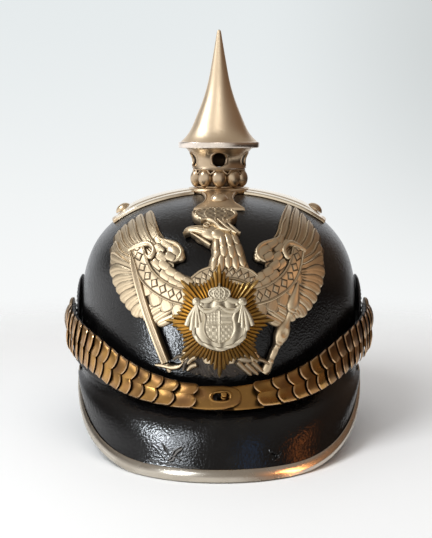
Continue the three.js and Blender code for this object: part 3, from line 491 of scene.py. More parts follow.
neck_gilt = metal_finish(
    "neck_gilt", bright=(0.58, 0.45, 0.31), dull=(0.40, 0.29, 0.19), dark=(0.05, 0.032, 0.02),
    rubbed=(0.80, 0.70, 0.54), roughness=0.30, shade_and_grime=0.9, cloud_scale=50.0)
trim_metal = metal_finish(
    "trim_metal", bright=(0.55, 0.50, 0.425), dull=(0.35, 0.305, 0.245), dark=(0.05, 0.04, 0.03),
    rubbed=(0.64, 0.595, 0.515), roughness=0.26, shade_and_grime=0.8, cloud_scale=60.0)


def piece(name, body, finish, nodes, crease=40):
    """Makes a mesh from a solid, welds it, and lets it stand for CAD nodes."""
    mesh = bpy.data.meshes.new(name)
    mesh.from_pydata((body.points * MM).tolist(), [], body.faces.tolist(), shade_flat=False)
    for label in ("recess", "tarnish"):
        values = getattr(body, label)
        if np.any(values):
            held = mesh.attributes.new(label, "FLOAT", "POINT")
            held.data.foreach_set("value", values.astype(np.float32))
    work = bmesh.new()
    work.from_mesh(mesh)
    bmesh.ops.remove_doubles(work, verts=work.verts, dist=2e-6)
    bmesh.ops.recalc_face_normals(work, faces=work.faces)
    work.to_mesh(mesh)
    work.free()
    mesh.set_sharp_from_angle(angle=math.radians(crease))
    mesh.materials.append(finish)
    made = bpy.data.objects.new(name, mesh)
    bpy.context.scene.collection.objects.link(made)
    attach(made, "root")
    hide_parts(*nodes)
    return made


# Surfaces of the helmet

def skull_share(z):
    """Share of the full oval at a height."""
    z = np.asarray(z, float)
    drop = (SKULL.widest_z - z) / (SKULL.widest_z - SKULL.rim_z)
    rise = np.clip((z - SKULL.widest_z) / (SKULL.top_z - SKULL.widest_z), 0, 1)
    dome = (1 - rise ** SKULL.fullness) ** (1 / SKULL.fullness)
    return np.where(z < SKULL.widest_z, 1 - SKULL.rim_pinch * drop ** 2, dome)


def skull_height(share):
    """Height of the dome at a share of the full oval."""
    rise = np.clip(1 - np.minimum(1, share) ** SKULL.fullness, 0, 1) ** (1 / SKULL.fullness)
    return SKULL.widest_z + (SKULL.top_z - SKULL.widest_z) * rise


def skull_depth(turn):
    """Depth of the oval on the side that a turn faces."""
    return np.where(np.cos(turn) > 0, SKULL.front, SKULL.back)


def skull_point(turn, share, z):
    """Point of the skull; the turn runs from the front toward +X."""
    return stack(SKULL.half_width * share * np.sin(turn), -skull_depth(turn) * share * np.cos(turn), z)


def level_normal(turn):
    """Level outward direction of the oval at a turn."""
    return unit(stack(np.sin(turn) / SKULL.half_width, -np.cos(turn) / skull_depth(turn), 0 * turn))


def on_dome(x, y, height):
    """Point over the crown at a plan position."""
    def surface(px, py):
        depth = np.where(py < 0, SKULL.front, SKULL.back)
        return stack(px, py, skull_height(np.hypot(px / SKULL.half_width, py / depth)))
    return lifted(surface, x, y, height, GAP)


def front_meridian(wall_rows, dome_rows, last_tilt):
    """Shares and heights of the skull from the rim over the front to a tilt in degrees."""
    wall_z = np.linspace(SKULL.rim_z, SKULL.widest_z, wall_rows, endpoint=False)
    tilt = np.radians(np.linspace(0, last_tilt, dome_rows))
    share = np.concatenate([skull_share(wall_z), np.cos(tilt) ** (2 / SKULL.fullness)])
    z = SKULL.widest_z + (SKULL.top_z - SKULL.widest_z) * np.sin(tilt) ** (2 / SKULL.fullness)
    return share, np.concatenate([wall_z, z])


MERIDIAN_SHARE, MERIDIAN_Z = front_meridian(120, 281, 90)
MERIDIAN_STEPS = np.hypot(SKULL.front * np.diff(MERIDIAN_SHARE), np.diff(MERIDIAN_Z))
MERIDIAN_V = np.concatenate([[0], np.cumsum(MERIDIAN_STEPS)])


def on_plate(u, v, h):
    """Point over the front of the skull in plate coordinates."""
    def surface(pu, pv):
        share = np.interp(pv, MERIDIAN_V, MERIDIAN_SHARE)
        z = np.interp(pv, MERIDIAN_V, MERIDIAN_Z)
        return skull_point(pu / (PLATE.turn_radius * np.maximum(share, PLATE.least_share)), share, z)
    return lifted(surface, np.asarray(u, float), np.asarray(v, float), h, 0.4)


def edge_height(beta):
    """Height of a peak's edge at a turn from its middle."""
    rise = np.maximum(0, np.abs(np.degrees(beta)) - PEAK.flat_deg) / (90 - PEAK.flat_deg)
    return SKULL.rim_z * rise ** 2


def peak_controls(peak, beta):
    """Control points of a peak's middle layer, from its flange to its edge."""
    share = float(skull_share(PEAK.flange_top))
    turn = beta * math.acos(peak.corner / (peak.depth * share)) / (math.pi / 2)
    phi = turn if peak.toward < 0 else math.pi - turn
    foot = skull_point(phi, share, PEAK.flange_top) + level_normal(phi) * (GAP + PEAK.thick / 2)
    y = peak.toward * (peak.corner + (peak.reach - peak.corner) * np.cos(beta))
    aside = np.sign(beta) * np.abs(np.sin(beta)) ** peak.roundness
    edge = stack(peak.half_width * aside, y, edge_height(beta))
    knee = foot.copy()
    knee[..., 2] = SKULL.rim_z
    sweep = foot + (edge - foot) * PEAK.sweep_at
    sweep[..., 2] = SKULL.rim_z + (edge[..., 2] - SKULL.rim_z) * PEAK.shoulder
    return foot, knee, sweep, edge


def peak_point(peak, beta, share, height):
    """Point of a peak, lifted off its middle layer."""
    def surface(b, s):
        b, s = np.broadcast_arrays(b, s)
        return bend(peak_controls(peak, b), s)
    return lifted(surface, beta, share, np.asarray(height) * peak.toward, 0.01)


def peak_run(peak, beta):
    """Length of a peak's curve for a unit of share, at its edge."""
    controls = peak_controls(peak, beta)
    return 3 * np.linalg.norm(controls[3] - controls[2], axis=-1)


# Chin strap surface

def strap_value(column, deg):
    """Smooth curve through a column of the strap's rows."""
    deg = np.abs(deg)
    at, values = STRAP_ROWS[:, 0], STRAP_ROWS[:, column]
    after = np.minimum(np.arange(len(at)) + 1, len(at) - 1)
    before = np.maximum(np.arange(len(at)) - 1, 0)
    slope = (values[after] - values[before]) / (at[after] - at[before])
    slope[0] = 0
    i = np.clip(np.searchsorted(at, deg), 1, len(at) - 1)
    span = at[i] - at[i - 1]
    t = (deg - at[i - 1]) / span
    rise = (values[i] - values[i - 1]) * t * t * (3 - 2 * t)
    return values[i - 1] + rise + span * (t * (1 - t) ** 2 * slope[i - 1] + t * t * (t - 1) * slope[i])


def strap_middle(deg):
    """Middle line of the strap at a turn in degrees."""
    z = strap_value(STRAP_Z, deg)
    turn = np.radians(deg)
    stand = strap_value(STRAP_STAND, deg)[..., None]
    return skull_point(turn, skull_share(z), z) + level_normal(turn) * stand


STRAP_DEG = np.linspace(90, -90, 721)
STRAP_STEPS = np.linalg.norm(np.diff(strap_middle(STRAP_DEG), axis=0), axis=1)
STRAP_RUN = np.concatenate([[0], np.cumsum(STRAP_STEPS)])
STRAP_HALF_RUN = STRAP_RUN[-1] / 2


def strap_point(from_centre, across, out):
    """Point of the strap: distance from its middle toward +X, share of its half width, height over it."""
    given = [np.asarray(value, float) for value in (from_centre, across, out)]
    from_centre, across, out = np.broadcast_arrays(*given)
    deg = np.interp(STRAP_HALF_RUN - from_centre, STRAP_RUN, STRAP_DEG)
    lean = np.radians(strap_value(STRAP_LEAN, deg))
    normal = level_normal(np.radians(deg)) * np.cos(lean)[..., None]
    normal[..., 2] = np.sin(lean)
    step = 0.05
    way = unit(strap_middle(np.maximum(deg - step, -89.9)) - strap_middle(np.minimum(deg + step, 89.9)))
    normal = unit(normal - way * np.sum(normal * way, -1, keepdims=True))
    upward = np.cross(way, normal)
    half = strap_value(STRAP_HALF, deg)
    return strap_middle(deg) + upward * (across * half)[..., None] + normal * out[..., None]


# Leather

def make_skull():
    """Hand-worked leather bowl with a rounded rim and a vent at its top."""
    share, z = front_meridian(24, 70, 86.2)
    turn = full_turn(180)[None]
    share = np.append(share, SKULL.vent / 100)
    z = np.append(z, skull_height(SKULL.vent / 100))
    outer = skull_point(turn, share[:, None], z[:, None])
    along_rows = np.gradient(outer, axis=0)
    along_turn = (np.roll(outer, -1, 1) - np.roll(outer, 1, 1)) / 2
    normal = unit(np.cross(along_turn, along_rows))
    level = z[:, None]
    uneven = 0.22 * np.sin(3 * turn + 0.07 * level) * np.sin(0.11 * level + 2.2 * np.sin(turn))
    fade = ease((150 - level) / 40) * ease((level - SKULL.rim_z) / 25)
    outer = outer + normal * (uneven * fade)[..., None]
    inner = outer - normal * SKULL.wall
    rim = []
    middle, half = (outer[0] + inner[0]) / 2, (outer[0] - inner[0]) / 2
    for angle in np.radians([150, 120, 90, 60, 30]):
        drop = np.array([0, 0, -SKULL.wall / 2]) * math.sin(angle) * 0.6
        rim.append(middle + half * math.cos(angle) + drop)
    loop = np.concatenate([outer, inner[::-1], np.array(rim)])
    piece("leather_skull", wrapped(loop), black_leather, ["skull"], 50)


def peak_swell(peak, share):
    """Crowning of a peak's upper face between its flange and its edge."""
    off = np.clip((share - 0.68) / 0.26, -1, 1)
    return peak.swell * (1 - off ** 2) ** 2


def peak_loop(peak, beta, edge_inset):
    """Closed section of a peak's leather with a rounded edge and a rounded flange."""
    run = peak_run(peak, beta)
    half = PEAK.thick / 2
    last = 1 - (edge_inset + half) / run
    rows = np.linspace(0.02, 1, 44)[:, None]
    face = [peak_point(peak, beta, rows * last, half + peak_swell(peak, rows * last))]
    for angle in np.radians([30, 60, 90, 120, 150]):
        share = last + half * math.sin(angle) / run
        face.append(peak_point(peak, beta, share[None], half * math.cos(angle)))
    face.append(peak_point(peak, beta, rows[::-1] * last, -half))
    for angle in np.radians([150, 120, 90, 60, 30]):
        share = last * rows[0] - half * math.sin(angle) / run
        face.append(peak_point(peak, beta, share[None], half * math.cos(angle)))
    loop = np.concatenate(face)
    loop[..., 2] = np.maximum(loop[..., 2], 0)
    return np.swapaxes(loop, 0, 1)


# Small tears in the front peak near its trim: turn and share at both ends, height and paleness of the lips
# (torn fibres and a painted glint)
TEARS = [
    ((-21.2, 0.764), (-16.6, 0.878), 2.4, 1.0),
    ((-12.8, 0.792), (-16.8, 0.866), 2.2, 1.0),
    ((-17.8, 0.896), (-15.0, 0.856), 1.8, 1.0),
    ((-15.6, 0.856), (-11.8, 0.890), 1.8, 1.0),
    ((-22.4, 0.826), (-19.2, 0.886), 1.6, 0.8),
    ((-26.0, 0.896), (-20.0, 0.906), 1.0, 0.9),
    ((-20.6, 0.908), (-14.0, 0.910), 1.0, 0.9),
    ((-14.4, 0.914), (-6.0, 0.918), 0.9, 0.7),
    ((17.2, 0.816), (20.4, 0.884), 1.0, 0.25),
    ((21.8, 0.836), (18.6, 0.892), 0.9, 0.25),
]


def torn_lips(start, end, high, pale):
    """Two raised lips of leather on either side of a tear."""
    t = np.linspace(0, 1, 21)[:, None]
    k = np.linspace(-1, 1, 13)[None]
    taper = rounded(2 * t - 1, fullness=0.6)
    wander = 0.25 * np.sin(9 * t + 40 * start[1])
    turn = start[0] + (end[0] - start[0]) * t + (1.05 * k * taper + wander)
    share = start[1] + (end[1] - start[1]) * t + 0.008 * k
    lips = high * taper * (bump(k, 0.5, 0.28) + 0.7 * bump(k, -0.5, 0.28)) - 0.1
    level = PEAK.thick / 2 + peak_swell(FRONT_PEAK, share)
    outer = peak_point(FRONT_PEAK, np.radians(turn), share, level + lips)
    inner = peak_point(FRONT_PEAK, np.radians(turn), share, level - 0.6 + 0 * lips)
    # The lips are painted pale as torn fibres and a painted glint; the crack between them is made rough
    return shell(outer, inner, recess=bump(k, 0, 0.24) - pale * ease(1.6 * lips / high))


def make_peaks():
    """Both leather peaks; the front one is torn near its trim."""
    beta = np.radians(np.linspace(-PEAK.last_deg, PEAK.last_deg, 161))
    for name, peak, inset, tears, node in (
        ("front_peak", FRONT_PEAK, 0.6, TEARS, "front_visor"),
        ("rear_peak", REAR_PEAK, 0.0, [], "rear_visor"),
    ):
        solids = [swept(peak_loop(peak, beta, inset))] + [torn_lips(*tear) for tear in tears]
        piece(name, joined(solids), peak_leather, [node], 50)


def make_trim():
    """Metal channel that wraps the edge of the front peak."""
    beta = np.radians(np.linspace(-PEAK.last_deg - 0.4, PEAK.last_deg + 0.4, 181))
    run = peak_run(FRONT_PEAK, beta)
    inside = PEAK.thick / 2 + GAP
    outside = inside + TRIM.metal
    outline = [
        (TRIM.outer_lip, inside), (TRIM.outer_lip, outside), (TRIM.outer_lip * 0.6, outside + 0.55),
        (1.6, outside + 0.5), (-0.6, outside - 0.5), (-1.1, 0), (-0.6, 0.5 - outside), (1, -outside),
        (TRIM.inner_lip, -outside), (TRIM.inner_lip, -inside), (0.6, -inside), (0.2, 0), (0.6, inside),
    ]
    outline = softened(np.array(outline, float) + [TRIM.clear, 0], 0.9, 5)
    loop = np.stack([peak_point(FRONT_PEAK, beta, 1 - inset / run, height) for inset, height in outline], 1)
    loop[..., 2] = np.maximum(loop[..., 2], 0)
    piece("peak_trim", swept(loop, -0.35), trim_metal, ["visor_trim"], 55)


def make_spine():
    """Strip down the back of the skull and over the rear peak."""
    across = np.linspace(-1, 1, 17)[None]
    x = across * SPINE.half
    skull_rows, peak_rows = 46, 40
    bend_from, bend_to, passes = skull_rows - 8, skull_rows + 12, 10

    def surface(px, pz):
        px, pz = np.broadcast_arrays(px, pz)
        return stack(px, SKULL.back * np.sqrt(skull_share(pz) ** 2 - (px / SKULL.half_width) ** 2), pz)

    def sheet(height):
        z = np.linspace(SPINE.top_z, SPINE.low_z, skull_rows)[:, None]
        upper = lifted(surface, x, z, -SPINE.stand - height, GAP)
        rounding = 0.02 * across ** 4 * np.linspace(0, 1, peak_rows)[:, None] ** 12
        share = np.linspace(0.06, SPINE.last_share, peak_rows)[:, None] - rounding
        turn = np.arcsin(x / REAR_PEAK.half_width)
        lower = peak_point(REAR_PEAK, turn, share, PEAK.thick / 2 + SPINE.stand + height)
        rows = np.concatenate([upper, lower])
        # Eases the bend where the strip leaves the skull for the peak
        for _ in range(passes):
            before, after = rows[bend_from - 1:bend_to - 1], rows[bend_from + 1:bend_to + 1]
            rows[bend_from:bend_to] = (before + 2 * rows[bend_from:bend_to] + after) / 4
        return rows

    edge = 0.45 * bump(np.abs(across), 0.84, 0.1)
    crown = SPINE.metal * (0.55 + 0.45 * (1 - across ** 8)) + edge
    # A line inside each edge bead is painted shade
    rows = shell(sheet(crown), sheet(0 * across), recess=0.5 * bump(np.abs(across), 0.62, 0.12))
    piece("rear_spine_strip", rows, pale_gilt, ["rear_spine"])


# Crown fittings

def make_cross():
    """Four smooth arms with a raised lip that follow the dome, and a moulded hub under the ring."""
    solids = []
    across = np.sin(np.linspace(-np.pi / 2, np.pi / 2, 57))[None]
    down = 1 - (1 - np.linspace(0, 1, 61)[:, None]) ** 1.7
    for name, heading, reach, _ in CROSS_ARMS:
        end = reach - CROSS.end_round * across ** 2
        run = CROSS.root_at + (end - CROSS.root_at) * down
        half = along(FRONT_ARM_HALF if name == "front" else SIDE_ARM_HALF, down)
        aside = half * across
        cos, sin = math.cos(math.radians(heading)), math.sin(math.radians(heading))
        x, y = run * cos - aside * sin, run * sin + aside * cos
        from_end = end - run
        from_side = half * (1 - np.abs(across))
        edge = np.minimum(from_end, from_side)
        swell = 2.0 * (1 - across ** 2) * ease(from_end / 16)
        height = CROSS.stand + CROSS.metal * ease(edge / 0.7 + 0.25) + swell + 0.55 * bump(edge, 0.9, 0.6)
        # The arm ends are paled, partly as rubbed metal and partly as a painted highlight, the side arms
        # most; the line inside the lip is painted shade
        rub_and_highlight = 0.3 if name == "front" else 1.0
        recess = 0.3 * bump(edge, 2.1, 0.5) - rub_and_highlight * ease(from_end / 6)
        # The groove along each side arm is painted shade
        if name != "front":
            line = bump(from_side, 8, 1.1) * ease((from_end - 6) / 10)
            height = height - 0.6 * line
            recess = recess + 1.2 * line
        solids.append(shell(on_dome(x, y, height), on_dome(x, y, np.full_like(height, GAP)), recess=recess))
    hub = softened(HUB_RINGS, 0.5, 4)
    radius, height = hub[:, :1], hub[:, 1:]
    angle = full_turn(120)[None]
    top = on_dome(radius * np.cos(angle), radius * np.sin(angle), height + 0 * angle)
    low = on_dome(radius * np.cos(angle), radius * np.sin(angle), GAP + 0 * angle * height)
    solids.append(shell(top, low, True))
    piece("crown_cross", joined(solids), pale_gilt, ["cross_base"])


STUD_OUTLINE = [(0, 0), (5.6, 0), (5.6, 0.8), (5.2, 1.5), (4.2, 2.7), (2.6, 3.6), (1.2, 3.95), (0, 4)]


def make_studs():
    """Domed studs that hold the arms of the cross."""
    for name, heading, _, at in CROSS_ARMS:
        x = at * math.cos(math.radians(heading))
        y = at * math.sin(math.radians(heading))
        seat = on_dome(np.array(x), np.array(y), CROSS.stand + CROSS.metal + 0.5 + GAP)
        out = seat - on_dome(np.array(x), np.array(y), 0.0)
        outline = softened(STUD_OUTLINE, 0.35, 4)
        body = stood(turned(outline, 48, 0 * outline[:, 0]), seat, out)
        piece(f"arm_stud_{name}", body, pale_gilt, [f"cross_stud_{name}"])


def ball_grid(rows, columns):
    """Directions over a ball, pole to pole."""
    polar = np.linspace(0, np.pi, rows)[:, None]
    turn = full_turn(columns)[None]
    return np.sin(polar) * np.cos(turn), np.sin(polar) * np.sin(turn), np.cos(polar) + 0 * turn


def tube(line, radius, sides=12):
    """Round bar along a line of points, with its ends closed."""
    way = unit(np.gradient(line, axis=0))
    helper = np.array([0.0, 0.0, 1.0])
    side = np.cross(way, helper)
    side[np.linalg.norm(side, axis=1) < 0.2] = np.array([1.0, 0.0, 0.0])
    side = unit(side - way * np.sum(side * way, -1, keepdims=True))
    other = np.cross(way, side)
    angle = full_turn(sides)
    radius = np.broadcast_to(np.asarray(radius, float), (len(line),))[:, None, None]
    ring = side[:, None] * np.cos(angle)[None, :, None] + other[:, None] * np.sin(angle)[None, :, None]
    return swept(line[:, None] + ring * radius)


def make_ring():
    """Core of the ring with plain collars, large egg-shaped lobes around it and a cusp over each gap."""
    middle = (RING.bottom + RING.top) / 2
    tall = RING.top - RING.bottom
    core = [
        (RING.bore, RING.bottom), (17, RING.bottom), (17.4, RING.bottom + 1),
        (RING.core, RING.bottom + 1.8),
        (RING.core, RING.top - 2.2), (17.6, RING.top - 1.4), (18.4, RING.top), (RING.bore, RING.top),
    ]
    outline = softened(core, 0.6, 5)
    # The core behind the lobes is painted dark as shade
    deep = 0.95 * ((outline[:, 0] > RING.bore + 0.5) & (outline[:, 0] < 16.9))
    solids = [turned(outline, 120, deep)]
    dx, dy, dz = ball_grid(25, 32)
    up = np.array([0, 0, 1.0])
    for lobe in range(RING.lobes):
        turn = 2 * math.pi * lobe / RING.lobes - math.pi / 2
        out = np.array([math.cos(turn), math.sin(turn), 0])
        side = np.array([-math.sin(turn), math.cos(turn), 0])
        wide = 5.05 + 0.5 * dz
        egg = out * (15.9 + 4.7 * dx)[..., None] + side * (wide * dy)[..., None]
        solids.append(ball(egg + up * (middle - 0.2 + tall * 0.47 * dz)[..., None]))
        gap = turn + math.pi / RING.lobes
        arch = np.linspace(-1, 1, 13)
        spread = gap + 0.16 * arch
        reach = 18.2 - 0.5 * np.abs(arch)
        line = stack(reach * np.cos(spread), reach * np.sin(spread),
                     RING.top - 3.4 + 2.6 * np.abs(arch) ** 1.5)
        solids.append(tube(line, 0.55, 8))
    piece("gadroon_ring", joined(solids), neck_gilt, ["pearl_ring"], 60)


def ball(grid):
    """Closed solid from a pole-to-pole grid that closes around; its poles are painted dark as shade."""
    rows, columns = grid.shape[:2]
    index = np.arange(rows * columns).reshape(rows, columns)
    edge = np.linspace(-1, 1, rows)[:, None] + np.zeros((rows, columns))
    return solid(grid.reshape(-1, 3), quads(index, False, True), 0.5 * np.abs(edge).reshape(-1) ** 6)


def make_neck():
    """Flared neck pierced by round vents, each with a raised lip."""
    z_low, z_high = NECK_ROWS[0][0], NECK_ROWS[-1][0]
    flare = np.polyfit([z for z, _ in NECK_ROWS], [r for _, r in NECK_ROWS], 3)
    steps = 16
    side = np.linspace(-1, 1, steps, endpoint=False)
    square = np.concatenate([
        np.stack([np.ones(steps), side], -1), np.stack([-side, np.ones(steps)], -1),
        np.stack([-np.ones(steps), -side], -1), np.stack([side, -np.ones(steps)], -1),
    ])
    centre = np.array([0, 2 * (NECK.hole_z - z_low) / (z_high - z_low) - 1])
    half_turn = math.pi / NECK.holes
    round_size = np.array([NECK.hole_radius / (NECK.waist_radius * half_turn),
                           2 * NECK.hole_radius / (z_high - z_low)])
    ring = unit((square - centre) / round_size) * round_size + centre
    rows = np.linspace(0, 1, 16)[:, None, None] ** 1.5
    place = ring[None] * (1 - rows) + square[None] * rows
    lip = 0.75 * bump(rows[..., 0], 0.07, 0.06) + 0 * place[..., 0]
    z = z_low + (place[..., 1] + 1) / 2 * (z_high - z_low)
    solids = []
    for hole in range(NECK.holes):
        turn = place[..., 0] * half_turn + 2 * half_turn * hole - math.pi / 2

        def wall(depth, raised):
            radius = np.polyval(flare, z) - depth + raised
            return stack(radius * np.cos(turn), radius * np.sin(turn), z)

        outer, inner = wall(0, lip), wall(NECK.wall, 0)
        count = outer.shape[0] * outer.shape[1]
        front = np.arange(count).reshape(outer.shape[:2])
        back = front + count
        faces = [quads(front, False, True), quads(back, False, True)[:, ::-1]]
        faces.append(quads(np.stack([front[0], back[0]]), False, True))
        points = np.concatenate([outer.reshape(-1, 3), inner.reshape(-1, 3)])
        # A ring just outside each hole's lip is painted shade
        deep = np.concatenate([(0.7 * bump(rows[..., 0], 0.24, 0.06) + 0 * z).reshape(-1), np.ones(count)])
        solids.append(solid(points, np.concatenate(faces), deep))
    angle = full_turn(steps * NECK.holes) - math.pi / 2 - half_turn
    for level in (z_low, z_high):
        radius = np.polyval(flare, level)
        edges = [stack(r * np.cos(angle), r * np.sin(angle), level) for r in (radius, radius - NECK.wall)]
        index = np.arange(2 * len(angle)).reshape(2, -1)
        solids.append(solid(np.concatenate(edges), quads(index, False, True)))
    piece("pierced_neck", joined(solids), neck_gilt, ["vent_neck"], 45)


def make_spike():
    """Hollow spike whose cone sweeps out to a thin upright rim."""
    rise, radius = along(SPIKE_CONE, np.linspace(0, 1, 70)).T
    cone = np.stack([radius, rise], -1)
    rim = np.array([(r, z) for z, r in SPIKE_RIM])
    inner_rise = np.array([SPIKE.hollow, 60, 34, 13.2, SPIKE.ledge])
    inner_radius = np.interp(inner_rise, rise, radius) - SPIKE.wall
    inner_radius[0], inner_radius[-1] = 0, SPIKE.bore
    inner = np.stack([inner_radius, inner_rise], -1)
    top = [(0, SPIKE_TIP)]
    outline = np.concatenate([rim, cone, top, inner, [(SPIKE.bore, 0)]]) + [0, SPIKE.bottom]
    paled = np.where(np.arange(len(outline)) < len(rim), -1.0, 0.0)
    piece("tall_spike", turned(outline, 128, paled), spike_gilt, ["spike"], 50)


# Relief on the plate

def on_wing(sign, u, v, h):
    """Point over the plate on its left or right half; the right wing stands higher and narrower."""
    if sign > 0:
        outer = ease((u - 28) / 14)
        v_up = v + 8.5 * outer * ease((v - 88) / 32)
        u = u * (1 - 0.07 * bump(v, 84, 26) * ease((u - 34) / 34)) + 5 * outer * ease((v - 106) / 18)
        return on_plate(u, v_up, h)
    return on_plate(-u, v, h)


class Strip:
    """A raised strip on the plate along a curve, with half widths and heights along and across it."""

    def __init__(self, line, half, height, base=PLATE.stand, sign=1):
        self.line = line
        self.half = half
        self.height = height
        self.base = base
        self.sign = sign

    def place(self, t, k):
        """Plate coordinates at a share along and a share across."""
        t, k = np.broadcast_arrays(np.asarray(t, float), np.asarray(k, float))
        middle = along(self.line, t)
        step = 0.004
        way = unit(along(self.line, np.minimum(t + step, 1)) - along(self.line, np.maximum(t - step, 0)))
        half = self.half(t) if callable(self.half) else along(self.half, t)
        side = stack(-way[..., 1], way[..., 0])
        return middle + side * (half * k)[..., None]

    def point(self, t, k, h):
        """Point over the plate at a height."""
        uv = self.place(t, k)
        return on_wing(self.sign, uv[..., 0], uv[..., 1], np.broadcast_to(h, uv.shape[:-1]))

    def solid(self, rows=24, columns=10, recess=None):
        """The strip as a closed solid; its edges are painted dark as shade unless told otherwise."""
        t = np.linspace(0, 1, rows + 1)[:, None]
        k = np.linspace(-1, 1, columns + 1)[None]
        top = self.height(t, k) + 0 * t * k
        deep = 0.85 * np.abs(k) ** 5 + 0 * t if recess is None else recess(t, k) + 0 * t * k
        back = np.array([[-1.0, 0.0, 1.0]])
        return relief(self.point(t, k, top), self.point(t, back, self.base), deep)

    def leaf(self, start, end, middle, half, rise, rows=14, columns=10):
        """A drop-shaped feather on the strip, from one share of it to another."""
        a = np.linspace(0, 1, rows + 1)[:, None]
        b = np.linspace(-1, 1, columns + 1)[None]
        t = start + (end - start) * a
        shape = np.sqrt(np.clip(1 - ((a - 0.66) / np.where(a < 0.66, 0.72, 0.345)) ** 2, 0.01, 1))
        k = np.clip(middle + half * shape * b, -1, 1)
        low = self.height(t, k)
        top = low + rise * (0.15 + 0.85 * ease(a * 1.4)) * rounded(b, 0.95, 0.7)
        # Painted shade along the sides and at the root of each drop
        deep = 1.0 * np.abs(b) ** 3 + 0.7 * ease((0.25 - a) / 0.25)
        back = k[:, [0, columns // 2, -1]]
        return relief(self.point(t, k, top), self.point(t, back, self.height(t, back) - 0.8), deep)


def round_ridge(low, high):
    """Height across a rounded strip."""
    return lambda t, k: low + (high - low) * rounded(k)


def boss(u, v, wide, tall, low, high, sign=1, turn=0.0, base=PLATE.stand, rows=9, columns=24, shade=0.8):
    """Rounded pillow on the plate."""
    r = np.linspace(0, 1, rows)[:, None]
    angle = full_turn(columns)[None]
    x, y = wide * r * np.cos(angle), tall * r * np.sin(angle)
    c, s = math.cos(math.radians(turn)), math.sin(math.radians(turn))
    pu, pv = u + x * c - y * s, v + x * s + y * c
    top = low + (high - low) * rounded(r) + 0 * angle
    outer = on_wing(sign, pu, pv, top)
    inner = on_wing(sign, pu, pv, np.full(top.shape, base))
    return shell(outer, inner, True, shade * r ** 6 + 0 * angle)


# Flight feathers of a wing: root, bend, tip, half width at the root and the tip. The first are long blades.
BLADES = 7
QUILLS = [
    ((38.8, 92.5), (45.8, 101.5), (54.2, 121.8), 4.2, 4.6),
    ((46.2, 89.8), (54.5, 99.5), (63.5, 116), 4.0, 4.8),
    ((53.2, 87.8), (61.8, 95.2), (70, 109.5), 3.6, 4.7),
    ((58.5, 85.8), (68.5, 92.2), (76, 103.2), 3.2, 4.5),
    ((61.2, 82.5), (72.8, 87.5), (80.8, 97), 2.9, 4.6),
    ((61.5, 78.5), (74.2, 81.2), (81.5, 87.8), 2.6, 4.7),
    ((61.8, 74.8), (73.2, 76.5), (81.2, 77.8), 2.5, 4.8),
    ((60.8, 71.2), (70.8, 71.2), (78.8, 68.5), 2.5, 4.5),
    ((59.2, 67.8), (67.5, 66), (75, 62.8), 2.5, 4.0),
    ((57.8, 64.2), (64.5, 62), (71, 58.2), 2.6, 3.8),
    ((55.8, 60), (61.8, 57), (66.8, 53.2), 2.8, 3.8),
    ((53.2, 56), (58, 52.8), (61.5, 49), 2.9, 3.8),
    ((50.5, 51.8), (53.8, 48.8), (56, 45), 3.0, 3.9),
    ((40, 53.5), (46.5, 50), (52, 45), 2.4, 2.9),
    ((35.5, 52.4), (42.5, 48.2), (48.6, 43.4), 2.4, 2.9),
    ((31, 50.6), (38, 46.2), (44.4, 42), 2.4, 2.8),
    ((25.4, 48), (32.6, 44.6), (39.2, 41.4), 2.3, 2.7),
]


def quill_line(quill):
    """Middle line of a flight feather, carried on inward under the ribbon."""
    root, middle, tip = (np.array(point, float) for point in quill[:3])
    return [root + 0.8 * (root - middle), root, middle, tip]


def rounded_half(root, tip, round_from):
    """Half width of a feather that widens from its root and ends in a round tip."""
    def half(t):
        end = np.clip((t - round_from) / (1.002 - round_from), 0, 1)
        return (root + (tip - root) * ease((t - 0.3) / 0.55)) * np.sqrt(np.clip(1 - end ** 2, 0.004, 1))
    return half


def feather(quill, order, sign):
    """One flight feather: its upper edge lies over the one above it."""
    lift = 1.4 + 0.08 * min(order, 9)
    blade = order < BLADES

    def height(t, k):
        if blade:
            body = 0.35 + 0.7 * ease((k + 1) / 2)
            lines = 0.65 * bump(k, 0.82, 0.13) - 0.22 * bump(k, 0.55, 0.1) - 0.15 * bump(k, -0.1, 0.12)
        else:
            body = 1.55 * rounded(k, 0.9) + 0.3 * k
            lines = -0.25 * bump(k, 0.0, 0.1)
        droop = 0.6 * ease((t - 0.93) / 0.07)
        return lift + body + lines * (1 - ease((t - 0.94) / 0.06)) - droop

    # Painted shade: blades darker along their lower half and in their grooves; round feathers darker at their
    # sides, along the shaft and toward the root
    def recess(t, k):
        if blade:
            return 1.1 * ease((-k - 0.25) / 0.5) + 0.9 * bump(k, 0.55, 0.12) + 0.6 * bump(k, -0.1, 0.12)
        return 1.2 * np.abs(k) ** 3 + 0.55 * bump(k, 0.0, 0.1) + 0.5 * ease((0.45 - t) / 0.2)

    half = rounded_half(quill[3], quill[4] * (1.18 if blade else 1.08), 0.84 if blade else 0.74)
    return Strip(quill_line(quill), half, height, PLATE.stand, sign).solid(36, 14, recess)


RIBBON_LINE = [(19, 57.6), (22.6, 58.8), (28, 60), (34, 62.2), (40.5, 65.6), (46, 70), (50.5, 75.8),
               (53.8, 83), (55, 86.5)]
RIBBON_HALF = [5.0, 5.0, 5.1, 5.2, 5.4, 5.6, 5.8, 6.0, 5.8]
RIBBON_LOZENGES = 9


def lozenge_depth(t, k, count):
    """How far inside the outline of its lozenge a place on the band lies, 1 in the middle."""
    return 1 - np.abs(k) / 0.56 - np.abs((t * count) % 1 - 0.5) / 0.42


def lozenge_row(t, k, count):
    """Height share of a row of lozenges along a band."""
    return ease(2.4 * lozenge_depth(t, k, count))


